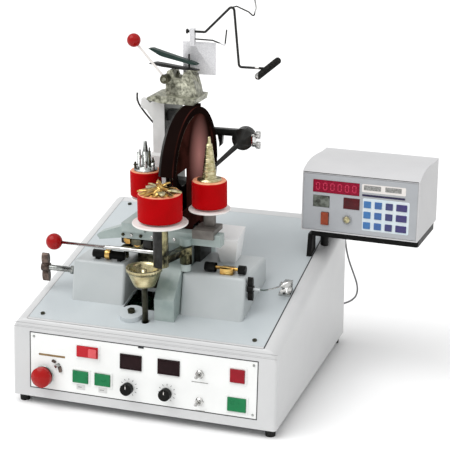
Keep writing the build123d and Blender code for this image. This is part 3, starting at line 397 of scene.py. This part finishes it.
def plate(name, matrix, x, v, w, h, n0, n1, body, key, corner=1.5, bevel=0.3):
    """A flat plate with rounded corners and eased edges, on a local plane."""
    bm = bmesh.new()
    corner = min(corner, w / 2 - 0.01, h / 2 - 0.01)
    ring = []
    for cx, cy, turn in ((1, 1, 0), (-1, 1, 90), (-1, -1, 180), (1, -1, 270)):
        for step in range(5):
            angle = radians(turn + step * 22.5)
            ring.append(bm.verts.new((x + cx * (w / 2 - corner) + corner * cos(angle),
                                      v + cy * (h / 2 - corner) + corner * sin(angle), n0)))
    bottom = bm.faces.new(ring)
    raised = bmesh.ops.extrude_face_region(bm, geom=[bottom])
    top = [g for g in raised["geom"] if isinstance(g, bmesh.types.BMVert)]
    bmesh.ops.translate(bm, verts=top, vec=(0, 0, n1 - n0))
    upper = [e for e in bm.edges if all(abs(p.co.z - n1) < 1e-6 for p in e.verts)]
    if bevel:
        bmesh.ops.bevel(bm, geom=upper, offset=min(bevel, (n1 - n0) * 0.45), segments=2, affect="EDGES",
                        profile=0.6)
    return add(name, from_bmesh(name, bm, matrix), body, key)


def turned(name, matrix, profile, body, key, steps=48, x=0, v=0):
    """A solid of revolution about the local outward axis, from (radius, height) pairs."""
    bm = bmesh.new()
    rings = []
    for radius, height in profile:
        if radius < 1e-6:
            rings.append([bm.verts.new((x, v, height))])
            continue
        rings.append([bm.verts.new((x + radius * cos(2 * pi * i / steps),
                                    v + radius * sin(2 * pi * i / steps), height)) for i in range(steps)])
    for lower, upper in zip(rings, rings[1:]):
        for i in range(steps):
            j = (i + 1) % steps
            corners = [lower[i % len(lower)], lower[j % len(lower)], upper[j % len(upper)],
                       upper[i % len(upper)]]
            bm.faces.new(list(dict.fromkeys(corners)))
    for ring in (rings[0], rings[-1]):
        if len(ring) > 1:
            bm.faces.new(ring)
    return add(name, from_bmesh(name, bm, matrix), body, key)


def tube(name, points, radius, body, key, smooth=False):
    """A round wire through points in the frame's metres."""
    curve = bpy.data.curves.new(name, "CURVE")
    curve.dimensions = "3D"
    curve.bevel_depth = radius * MM
    curve.bevel_resolution = 5
    curve.use_fill_caps = True
    spline = curve.splines.new("NURBS" if smooth else "POLY")
    spline.points.add(len(points) - 1)
    for target, point in zip(spline.points, points):
        target.co = (*point, 1)
    if smooth:
        spline.order_u = 3
        spline.use_endpoint_u = True
    curve.materials.append(M[key])
    piece = bpy.data.objects.new(name, curve)
    bpy.context.scene.collection.objects.link(piece)
    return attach(piece, body)


def standing(x, y, z=0):
    """Local plane whose outward axis is up."""
    return place(at(x, y, z), (1, 0, 0), (0, 1, 0), (0, 0, 1))


def facing(y, x=0):
    """Upright local plane whose outward axis points to the front of the machine."""
    return place(at(x, y, 0), (1, 0, 0), (0, 0, 1), (0, -1, 0))


def over(label, dx=0, dy=0, z=0):
    """Upward local plane on a roller's axis, or beside it."""
    x, y = ROLLERS[label][:2]
    return standing(x + dx, y + dy, z)


# ------------------------------------------------------------------ rollers and hubs
for label, (_, _, radius, cap_key) in ROLLERS.items():
    unit = f"{label}_roller_unit"
    hub = f"{label}_hub"
    section(hub, f"{label}_spindle", "dark_steel", *between("z", None, ROLLER_FOOT - FLANGE_THICK))
    section(hub, f"{label}_flange", "white", *between("z", ROLLER_FOOT - FLANGE_THICK, ROLLER_FOOT))
    section(hub, f"{label}_cap", cap_key, *between("z", ROLLER_FOOT, None))
    turned(f"{label}_roller_top", over(label), [
        (HUB_RADIUS, ROLLER_TOP - 0.5), (radius - 3.5, ROLLER_TOP - 0.5), (radius - 3.5, ROLLER_TOP + 0.5),
        (HUB_RADIUS, ROLLER_TOP + 0.3)], unit, "tyre_top", 72)
    turned(f"{label}_roller_rim", over(label), [
        (radius - 4.6, ROLLER_TOP - 0.5), (radius - 2.2, ROLLER_TOP - 0.7), (radius - 1.7, ROLLER_TOP + 0.1),
        (radius - 2.2, ROLLER_TOP + 0.9), (radius - 4.2, ROLLER_TOP + 1.0)], unit, "rim", 72)


def leaf(name, matrix, length, width, rise, thick, body, key):
    """A thin pointed leaf, arched across and along, its near end at the local origin."""
    bm = bmesh.new()
    rows, across = 12, 6

    def half_width(t):
        if t < 0.9:
            return width / 2 * (0.12 + 0.88 * sin(pi * min(1, t * 1.1) ** 0.8) ** 0.9)
        return width * 0.1 * (1 - t) * 5

    def corner(t, side, level):
        arch = rise * sin(pi * t) + (1 - side ** 2) * width * 0.16
        return bm.verts.new((length * t, half_width(t) * side, arch + level))

    sheets = [[[corner(i / rows, 2 * j / across - 1, level) for j in range(across + 1)]
               for i in range(rows + 1)] for level in (0, thick)]
    low_sheet, top_sheet = sheets
    for i in range(rows):
        for j in range(across):
            bm.faces.new((top_sheet[i][j], top_sheet[i + 1][j], top_sheet[i + 1][j + 1], top_sheet[i][j + 1]))
            bm.faces.new((low_sheet[i][j], low_sheet[i][j + 1], low_sheet[i + 1][j + 1], low_sheet[i + 1][j]))
        for j in (0, across):
            bm.faces.new((low_sheet[i][j], low_sheet[i + 1][j], top_sheet[i + 1][j], top_sheet[i][j]))
    for i in (0, rows):
        for j in range(across):
            bm.faces.new((low_sheet[i][j], low_sheet[i][j + 1], top_sheet[i][j + 1], top_sheet[i][j]))
    return add(name, from_bmesh(name, bm, matrix), body, key, 60)


# the front cap's leaves droop outward, and a smaller set above them stands up
DROOPING = ((8, 10, 33, 15, 5, 6), (52, 9, 30, 13, 6, 10), (96, 11, 31, 15, 5, 4), (150, 8, 35, 16, 6, 7),
            (198, 10, 33, 14, 5, 5), (246, 9, 33, 15, 5, 8), (300, 10, 32, 16, 6, 6))
STANDING = ((30, 3, 20, 10, 11, -22), (120, 3, 19, 10, 12, -28), (215, 3, 21, 11, 11, -24),
            (285, 2, 18, 9, 13, -32))
LEAF_RISE, LEAF_THICK = 2.5, 1.1
for i, (turn, near, length, width, height, tilt) in enumerate(DROOPING + STANDING):
    spot = (over("front", z=ROLLER_TOP + height) @ Matrix.Rotation(radians(turn), 4, "Z")
            @ Matrix.Translation((near, 0, 0)) @ Matrix.Rotation(radians(tilt), 4, "Y"))
    leaf(f"front_cap_leaf_{i}", spot, length, width, LEAF_RISE, LEAF_THICK, "front_roller_unit",
         "gold" if i % 3 else "cream_brass")
NUT_PROFILE = ((0, 14), (5.5, 14), (6, 15), (6, 19), (5, 20.5), (2.5, 20.8), (2.5, 23), (0, 23.6))
turned("front_cap_nut", over("front"), [(radius, ROLLER_TOP + height) for radius, height in NUT_PROFILE],
       "front_roller_unit", "gold", 6)
PINS = ((-8, -9, 2.2, 46), (-17, 4, 2.0, 30), (5, -12, 2.6, 22), (13, 8, 2.2, 26), (19, -8, 3.0, 15),
        (-20, -6, 2.6, 18), (3, 10, 2.4, 38), (10, -3, 1.8, 50))
# shares of a pin's radius and height, from its foot to its tip
PIN_PROFILE = ((0, 0), (1, 0), (1, 0.55), (1.5, 0.58), (1.5, 0.7), (0.9, 0.74), (0.7, 0.95), (0, 1))
for i, (dx, dy, radius, rise) in enumerate(PINS):
    turned(f"left_cap_pin_{i}", over("left", dx, dy), [
        (radius * wide, ROLLER_TOP + rise * tall) for wide, tall in PIN_PROFILE], "left_roller_unit",
        "dark_steel" if i % 2 else "chrome", 20)
RIBS, RIB_FIRST, RIB_PITCH = 9, 6, 7.6
CONE_FOOT_RADIUS, CONE_TAPER, CONE_HEIGHT = 15, 9, 74
for i in range(RIBS):
    height = RIB_FIRST + RIB_PITCH * i
    radius = CONE_FOOT_RADIUS - CONE_TAPER * height / CONE_HEIGHT
    turned(f"right_cap_rib_{i}", over("right"), [
        (radius - 1, ROLLER_TOP + height - 1.6), (radius + 0.3, ROLLER_TOP + height - 1.0),
        (radius + 0.7, ROLLER_TOP + height), (radius + 0.2, ROLLER_TOP + height + 1.0),
        (radius - 1.2, ROLLER_TOP + height + 1.6)], "right_roller_unit",
        "cream_brass" if i % 2 else "brass", 32)


# ------------------------------------------------------------------ levers, guides and adjusters
lever_foot, lever_end = Vector((-34, -11, 637)), Vector((-101, -11, 712))
run = (lever_end - lever_foot).normalized()
hub_edge, ball_edge = lever_foot + run * 10, lever_end - run * 14.5
section("upper_lever", "upper_lever_ball", "red_gloss", (ball_edge, run))
section("upper_lever", "upper_lever_rod", "white", (hub_edge, run), (ball_edge, -run))
section("upper_lever", "upper_lever_hub", "dark_steel", (hub_edge, -run))

section("clamp_lever", "clamp_lever_rod", "chrome", *between("x", None, CLAMP_LINK_X),
        *between("y", CLAMP_BOSS_Y, None))
section("clamp_lever", "clamp_lever_link", "olive", *between("x", CLAMP_LINK_X, None))
section("clamp_lever", "clamp_lever_boss", "black_metal", *between("x", None, CLAMP_LINK_X),
        *between("y", None, CLAMP_BOSS_Y))
section("drive_cup", "cup_bowl", "brass", *between("z", CUP_FOOT, None))
section("drive_cup", "cup_stem", "dark_steel", *between("z", None, CUP_FOOT))
section("left_wing_nut", "left_wing_nut_wings", "brown_metal", *between("x", None, WING_SHAFT_X))
section("left_wing_nut", "left_wing_nut_shaft", "steel", *between("x", WING_SHAFT_X, None))

section("wire_guide", "wire_guide_frame", "black_metal", *between("x", None, PAD_END_X))
section("wire_guide", "wire_guide_pad_end", "chrome", *between("x", PAD_END_X, PAD_X))
section("wire_guide", "wire_guide_pad", "felt", *between("x", PAD_X, None))
section("guide_plate", "guide_plate_sheet", "plate", *between("z", None, SHEET_TOP))
section("guide_plate", "guide_plate_post", "plate", *between("z", SHEET_TOP, None),
        *between("x", None, SHEET_WIRE_X))
section("guide_plate", "guide_plate_wire", "black_metal", *between("z", SHEET_TOP, None),
        *between("x", SHEET_WIRE_X, None))
section("head_casting", "head_block", "cast_metal", *between("z", None, HEAD_TOP))
section("head_casting", "lower_guide_blade", "black_metal", *between("z", HEAD_TOP, None))
section("right_bracket", "right_bracket_arm", "black_metal", *between("x", None, BRACKET_SCREWS_X))
section("right_bracket", "right_bracket_screws", "chrome", *between("x", BRACKET_SCREWS_X, None))
section("side_lead", "signal_lead", "lead", *between("x", None, LEAD_CLAMP_X))
section("side_lead", "signal_clamp", "chrome", *between("x", LEAD_CLAMP_X, None))
for start, end, key in ((None, -124, "black"), (-124, -114, "gold"), (-114, 0, "black"), (0, 114, "black"),
                        (114, 161.9, "gold"), (161.9, None, "black")):
    section("adjusters", f"adjuster_{'start' if start is None else round(start + 200)}", key,
            *between("x", start, end))


# ------------------------------------------------------------------ front panel
ROW_SPLIT_Z, DISPLAY_FOOT_Z = 90, 100
STOP_SIDE_X = -170
DIALS_LEFT_X, DIALS_SPLIT_X, DIALS_RIGHT_X = -60, 20, 90
TOGGLE_X, TOGGLE_REACH = 124, 12


def fitting(centre):
    """Name and finish of one solid of panel_fittings, told from where its centre is."""
    x = round(centre.x)
    level = "upper" if centre.z > ROW_SPLIT_Z else "lower"
    side = "left" if x < DIALS_SPLIT_X else "right"
    if centre.z < ROW_SPLIT_Z and x < STOP_SIDE_X:
        return "stop_collar", "label"
    if abs(x - TOGGLE_X) < TOGGLE_REACH:
        return f"toggle_bush_{level}", "chrome"
    if centre.z > DISPLAY_FOOT_Z and DIALS_LEFT_X < x < DIALS_RIGHT_X:
        return f"display_{side}", "display"
    if DIALS_LEFT_X < x < DIALS_RIGHT_X:
        return f"potentiometer_{side}", "dark_steel"
    return f"switch_frame_{x + 300}_{level}", "panel"


islands("panel_fittings", fitting)
PANEL_WIDE, PANEL_TALL, PANEL_MIDDLE_V = 484, 117, 78
EDGE_X, EDGE_LOW_V, EDGE_HIGH_V, EDGE_LINE = 241.2, 19.6, 136.4, 1.8
for side, x in (("left", -EDGE_X), ("right", EDGE_X)):
    plate(f"panel_edge_{side}", FACE, x, PANEL_MIDDLE_V, EDGE_LINE, PANEL_TALL, -0.4, 0.35, "console",
          "line", 0.3, 0)
for side, v in (("lower", EDGE_LOW_V), ("upper", EDGE_HIGH_V)):
    plate(f"panel_edge_{side}", FACE, 0, v, PANEL_WIDE, EDGE_LINE, -0.4, 0.35, "console", "line", 0.3, 0)
plate("power_rocker_lit", FACE, -101, 110, 17, 18, 7.2, 9.4, "power_rocker", "lamp_light", 2)
turned("stop_ring", FACE, [(17.5, 4), (20.5, 4), (21, 5), (20, 6.4), (17.5, 6.4)], "console", "steel", 48,
       -209, 49)
for i, (x, v, w, h, turn) in enumerate(((-181, 73, 13, 6, 35), (-188, 81, 9, 5, -20), (-174, 66, 6, 12, 12))):
    spot = FACE @ Matrix.Translation((x, v, 0)) @ Matrix.Rotation(radians(turn), 4, "Z")
    plate(f"stop_tag_{i}", spot, 0, 0, w, h, 0, 2.2 + i, "console", "brown_metal" if i else "steel", 1.5)
plate("panel_tab", FACE, 0, 134, 12, 3.4, 0, 1.2, "console", "line")
plate("stop_label", FACE, -193, 92, 58, 4, 0, 0.6, "console", "label", 1)
START_BUTTONS_X, LEGEND_V = (-129, -81), 34
for x in START_BUTTONS_X:
    plate(f"start_legend_{x + 200}", FACE, x, LEGEND_V, 19, 11, 0, 0.5, "console", "pale")
    plate(f"start_legend_bar_{x + 200}", FACE, x - 2, LEGEND_V, 9, 1.4, 0.45, 0.7, "console", "ink", 0.4, 0)
DISPLAYS_X, GLASS_V, SILL_V = (-21, 59), 101, 84
for x in DISPLAYS_X:
    plate(f"display_glass_{x + 100}", FACE, x, GLASS_V, 38, 23, 0.8, 2.3, "console", "display", 2)
    plate(f"display_sill_{x + 100}", FACE, x, SILL_V, 42, 3.4, 0, 1.6, "console", "pale", 1)
DIALS_X, DIAL_V = {"speed_knob": -25, "tension_knob": 56}, 48
TICKS, TICK_STEP, FIRST_TICK, TICK_RADIUS = 11, 30, 240, 17
for knob, x in DIALS_X.items():
    for tick in range(TICKS):
        angle = radians(FIRST_TICK - TICK_STEP * tick)
        turn = Matrix.Translation((x, DIAL_V, 0)) @ Matrix.Rotation(angle, 4, "Z")
        plate(f"dial_tick_{x + 100}_{tick}", FACE @ turn, TICK_RADIUS, 0, 3.4, 0.8, 0, 0.35, "console",
              "line", 0.3, 0)
    plate(f"{knob}_pointer", FACE, x, DIAL_V + 6, 1.4, 8, 18.9, 19.3, knob, "white", 0.5, 0)
for name, x, v, w in (("toggle_legend_upper", 124, 79, 34), ("toggle_legend_lower", 126, 21, 20)):
    plate(name, FACE, x, v, w, 1.4, 0, 0.4, "console", "ink", 0.5, 0)
PANEL_SCREWS_X, PANEL_SCREWS_V = (-233, 233), (28, 128)
for x in PANEL_SCREWS_X:
    for v in PANEL_SCREWS_V:
        turned(f"panel_screw_{x + 300}_{v}", FACE, [(0, -1), (2.4, -1), (2.6, 0.4), (2.1, 1.2), (0, 1.5)],
               "console", "steel", 24, x, v)
BEZEL_WIDE = 558
plate("bezel_line_low", FACE, 0, 145, BEZEL_WIDE, 0.6, -0.2, 0.12, "console", "seam", 0.3, 0)
plate("bezel_line", FACE, 0, 154, BEZEL_WIDE, 0.8, -0.2, 0.15, "console", "seam", 0.3, 0)

# ------------------------------------------------------------------ seams round the table
SLOPE = atan2(111.5, 515.5)
TABLE = place(at(0, -250.5, 179), (1, 0, 0), (0, cos(SLOPE), sin(SLOPE)), (0, -sin(SLOPE), cos(SLOPE)))
plate("table_seam_right", TABLE, 250.3, 264, 2.2, 520, -0.6, 0.5, "console", "line", 0.5, 0)
plate("table_seam_left", TABLE, -250.3, 264, 1.2, 520, -0.6, 0.3, "console", "seam", 0.5, 0)
plate("table_seam_front", TABLE, 0, 3, 498, 1.4, -0.6, 0.3, "console", "seam", 0.5, 0)

# ------------------------------------------------------------------ gear case beside the pedestal
FRONTWARD, UPPER, BEAM = facing(-92), facing(-118), facing(-150)
plate("gear_case", FRONTWARD, -33, 257, 74, 84, -46, 0, "console", "dark_steel", 5, 1.5)
TRAIN_BLOCKS = ((-84, 322, 26, 18, -40, -6, "black_metal"), (-56, 318, 24, 28, -44, 2, "dark_steel"),
                (-32, 322, 18, 22, -40, 6, "black_metal"), (-12, 316, 18, 36, -46, -2, "dark_steel"),
                (-70, 306, 52, 7, -30, 3, "olive"), (-22, 305, 44, 8, -26, 8, "olive"))
for i, (x, z, w, h, n0, n1, key) in enumerate(TRAIN_BLOCKS):
    plate(f"gear_train_block_{i}", UPPER, x, z, w, h, n0, n1, "console", key, 3, 1)
TRAIN_WHEELS = ((-58, 320, 9, 5, "gold"), (-33, 323, 7, 9, "olive"), (-12, 324, 8, 3, "cream_brass"),
                (-84, 322, 6, -2, "gold"), (-46, 307, 5, 6, "steel"), (-10, 305, 5.5, 11, "gold"))
for i, (x, z, radius, rise, key) in enumerate(TRAIN_WHEELS):
    turned(f"gear_train_wheel_{i}", UPPER, [
        (0, -8), (radius, -8), (radius, rise), (radius - 0.8, rise + 0.8), (radius * 0.65, rise + 1),
        (radius * 0.6, rise), (radius * 0.35, rise), (radius * 0.3, rise + 2.2), (0, rise + 2.4)],
        "console", key, 32, x, z)
CASE_WHEELS = ((-25, 286, 10, "gold"), (-6, 290, 7, "olive"), (-13, 266, 12, "black_metal"),
               (-29, 262, 5, "olive"))
for i, (x, z, radius, key) in enumerate(CASE_WHEELS):
    turned(f"gear_case_wheel_{i}", FRONTWARD, [
        (0, -1), (radius, -1), (radius, 3.4), (radius - 1, 4.2), (radius * 0.6, 4.4), (radius * 0.55, 3.2),
        (radius * 0.3, 3.2), (radius * 0.3, 6), (0, 6.4)], "console", key, 36, x, z)
SPRING_X, SPRING_Y, SPRING_Z = -84, -104, 300
SPRING_LENGTH, SPRING_RADIUS, SPRING_STEPS, STEPS_IN_HALF_TURN = 48, 6, 240, 10
POST_X, ROD_END_X, CASE_Y = -90, -30, -92
coil = [at(SPRING_X + SPRING_LENGTH * i / SPRING_STEPS,
           SPRING_Y + SPRING_RADIUS * cos(i * pi / STEPS_IN_HALF_TURN),
           SPRING_Z + SPRING_RADIUS * sin(i * pi / STEPS_IN_HALF_TURN)) for i in range(SPRING_STEPS + 1)]
tube("return_spring", coil, 1.1, "console", "gold")
tube("return_spring_rod", [at(POST_X, SPRING_Y, SPRING_Z), at(ROD_END_X, SPRING_Y, SPRING_Z),
                           at(ROD_END_X, CASE_Y, SPRING_Z)], 2, "console", "steel")
plate("spring_post", facing(SPRING_Y, POST_X), 0, 291, 8, 26, -4, 4, "console", "olive", 3)
BEAM_FITTINGS = ((-24, 330, 18, 14, 1.5, "black_metal"), (-2, 331, 14, 12, 1, "olive"),
                 (-48, 331, 20, 12, 1, "dark_steel"), (-66, 332, 10, 10, 1.5, "gold"))
for i, (x, z, w, h, thick, key) in enumerate(BEAM_FITTINGS):
    plate(f"beam_fitting_{i}", BEAM, x, z, w, h, -18, thick, "console", key, 2)
BEAM_SCREWS_X, BEAM_SCREWS_Z = (-76, -58, -38, -14, 18, 34), 345.5
for i, x in enumerate(BEAM_SCREWS_X):
    turned(f"beam_screw_{i}", BEAM,
           [(0, -0.5), (3.4, -0.5), (3.4, 2.0), (2.8, 2.6), (1.6, 2.6), (1.4, 1.2), (0, 1.2)], "console",
           "chrome" if i % 2 else "dark_steel", 24, x, BEAM_SCREWS_Z)


# ------------------------------------------------------------------ ring guard
def guard_point(radius, degrees_round, x=GUARD_X):
    """A place on the guard, degrees round from straight forward over the top."""
    angle = radians(degrees_round)
    return at(x, RING_Y - radius * cos(angle), RING_Z + radius * sin(angle))


def guard_band(name, inner, outer, start, end, thick, key, steps=40):
    """A raised curved band on the guard's outer side."""
    bm = bmesh.new()
    rows = []
    for step in range(steps + 1):
        angle = start + (end - start) * step / steps
        rows.append([bm.verts.new(guard_point(radius, angle, x)) for radius, x in (
            (inner, GUARD_X - 0.3), (inner, GUARD_X + thick * 0.6), (inner + 0.5, GUARD_X + thick),
            (outer - 0.5, GUARD_X + thick), (outer, GUARD_X + thick * 0.6), (outer, GUARD_X - 0.3))])
    for lower, upper in zip(rows, rows[1:]):
        for i in range(6):
            bm.faces.new((lower[i], lower[(i + 1) % 6], upper[(i + 1) % 6], upper[i]))
    bm.faces.new(rows[0])
    bm.faces.new(rows[-1])
    return add(name, from_bmesh(name, bm), "console", key)


guard_band("guard_rim", 116, HOOD_RADIUS - 0.3, -2, 182, 0.9, "black_gloss")
tube("guard_edge_line", [guard_point(115.6, 8 + step * 4, GUARD_X + 0.3) for step in range(20)], 0.45,
     "console", "dark_steel")
tube("column_hook", [at(-67, 8, 536), at(-92, 8, 562), at(-107, 8, 586), at(-104, 8, 600)], 1.9, "console",
     "black_metal", smooth=True)

# ------------------------------------------------------------------ counter box
# the strokes of a zero, as shares of a digit's half width and half height
SEGMENTS = {"a": (0, 1), "b": (1, 0.5), "c": (1, -0.5), "d": (0, -1), "e": (-1, -0.5), "f": (-1, 0.5)}
DISPLAY_V = 97
DIGITS, FIRST_DIGIT_X, DIGIT_PITCH, DIGIT_HALF_WIDTH, DIGIT_HALF_HEIGHT = 6, 34, 15.6, 3.6, 7
STROKE_LENGTH, STROKE_WIDTH = 5.6, 1.5
plate("main_display", BOX_FACE, 73, DISPLAY_V, 99, 26, -0.8, 0.4, "console", "led", 1)
for digit in range(DIGITS):
    for segment, (across, up) in SEGMENTS.items():
        w, h = (STROKE_WIDTH, STROKE_LENGTH) if across else (STROKE_LENGTH, STROKE_WIDTH)
        plate(f"digit_{digit}_{segment}", BOX_FACE,
              FIRST_DIGIT_X + DIGIT_PITCH * digit + across * DIGIT_HALF_WIDTH,
              DISPLAY_V + up * DIGIT_HALF_HEIGHT, w, h, 0.4, 0.75, "console", "digit", 0.6, 0)
plate("face_seam_top", BOX_FACE, 124, 124.6, 243, 1.4, -0.6, 0.2, "console", "line", 0.4, 0)
plate("face_seam_right", BOX_FACE, 245.2, 64, 0.9, 118, -0.6, 0.2, "console", "seam", 0.4, 0)
plate("left_display", BOX_FACE, 42, 65, 35, 24, -0.8, 0.4, "console", "lcd", 1)
plate("right_display", BOX_FACE, 107, 66, 34, 23, -0.8, 0.4, "console", "dark_lcd", 1)
plate("keypad_ground", BOX_FACE, 180, 47, 98, 68, -0.45, -0.1, "console", "keypad", 3, 0)
plate("title_ground", BOX_FACE, 174, 102, 92, 17, -0.45, -0.1, "console", "white", 2, 0)
for x, w in ((150, 36), (194, 34)):
    plate(f"title_block_{x}", BOX_FACE, x, 103, w, 10, -0.2, 0.2, "console", "ink", 1, 0)
plate("title_line", BOX_FACE, 174, 87, 90, 4.2, -0.2, 0.3, "console", "navy_line", 1)
# each column of keys: its place, the width of its keys and their colour
KEY_COLUMNS = ((141, 15, (0.03, 0.17, 0.44)), (164, 15, (0.025, 0.12, 0.36)), (187, 15, (0.028, 0.032, 0.16)),
               (213, 22.5, (0.028, 0.018, 0.15)))
KEY_ROWS, KEY_HEIGHT = (68, 46, 24), 14
for column, (x, wide, colour) in enumerate(KEY_COLUMNS):
    M[f"key_{column}"] = material(f"key_{column}", colour, 0.35, second=[c * 0.75 for c in colour], scale=120,
                                  bump=0.05, coat=0.3)
    for row, v in enumerate(KEY_ROWS):
        plate(f"key_{column}_{row}", BOX_FACE, x, v, wide, KEY_HEIGHT, 0.2, 1.3, "console", f"key_{column}",
              1.2)
ROUND_SWITCH = 99, 32
turned("round_switch_ring", BOX_FACE, [(6.5, 2.4), (9.4, 2.4), (9.4, 3.2), (8.6, 3.8), (6.5, 3.4)],
       "console", "ink", 40, *ROUND_SWITCH)
turned("round_switch_cap", BOX_FACE, [(0, 2.4), (6.4, 2.4), (6.3, 4.4), (5.4, 5.0), (0, 5.2)], "console",
       "cream_brass", 40, *ROUND_SWITCH)

# ------------------------------------------------------------------ counter's cable
gland_exit = (246, 277, 66)
route = [gland_exit, (246, 295, 66), (255, 308, 66), (270, 315, 69), (287, 313, 79), (300, 306, 96),
         (303, 298, 122), (294, 293, 152), (281, 292, 186), (273, 293, 224), (270, 296, 264),
         (271, 299, 300), (276, 299, 330), (282, 291, 346), (285.4, 276.3, 352), (284.2, 254.4, 352)]
CABLE_RADIUS = 2
cable = tube("counter_cable", [at(*point) for point in route], CABLE_RADIUS, "console", "cable", smooth=True)
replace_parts(cable, "interconnect_cable")

# ------------------------------------------------------------------ stage, light and camera
FLOOR_REACH = 16
floor_mesh = bpy.data.meshes.new("floor")
floor_mesh.from_pydata([(x * FLOOR_REACH, y * FLOOR_REACH, 0) for x,
                        y in ((-1, -1), (1, -1), (1, 1), (-1, 1))], [], [(0, 1, 2, 3)])
floor = bpy.data.objects.new("floor", floor_mesh)
floor_mesh.materials.append(material("floor_white", (0.95, 0.95, 0.95), 0.8, second=(0.94, 0.94, 0.94),
                                     scale=1, spec=0.0))
bpy.context.scene.collection.objects.link(floor)

WORLD_STRENGTH = 0.72
world = bpy.data.worlds.new("studio")
bpy.context.scene.world = world
world.use_nodes = True
background = world.node_tree.nodes["Background"]
background.inputs["Color"].default_value = (1, 1, 1, 1)
background.inputs["Strength"].default_value = WORLD_STRENGTH
SUNS = (("sun_key", (-0.42, -0.34, 0.84), 1.75, 50), ("sun_fill", (0.5, -0.2, 0.85), 0.35, 70))
for name, direction, strength, spread_angle in SUNS:
    sun = bpy.data.lights.new(name, "SUN")
    sun.energy = strength
    sun.angle = radians(spread_angle)
    lamp = bpy.data.objects.new(name, sun)
    lamp.rotation_euler = (-Vector(direction)).to_track_quat("-Z", "Y").to_euler()
    bpy.context.scene.collection.objects.link(lamp)

bpy.context.scene.view_settings.view_transform = "Standard"
LENS_LENGTH, SENSOR_WIDTH, FAR_CLIP = 106.75, 36, 30
CAMERA_FROM_HOME, CAMERA_DIRECTION = (0.94675, -2.4852, 1.17674), (-0.3110, 0.9002, -0.3047)
CAMERA_ROLL = -0.27
camera_data = bpy.data.cameras.new("camera")
camera_data.lens = LENS_LENGTH
camera_data.sensor_width = SENSOR_WIDTH
camera_data.clip_end = FAR_CLIP
camera = bpy.data.objects.new("camera", camera_data)
eye = home + Vector(CAMERA_FROM_HOME)
forward = Vector(CAMERA_DIRECTION).normalized()
right = forward.cross(Vector((0, 0, 1))).normalized()
roll = radians(CAMERA_ROLL)
up = right.cross(forward)
tilted_right = right * cos(roll) + up * sin(roll)
tilted_up = up * cos(roll) - right * sin(roll)
camera.matrix_world = Matrix.Translation(eye) @ Matrix(
    (tilted_right, tilted_up, -forward)).transposed().to_4x4()
bpy.context.scene.collection.objects.link(camera)
bpy.context.scene.camera = camera
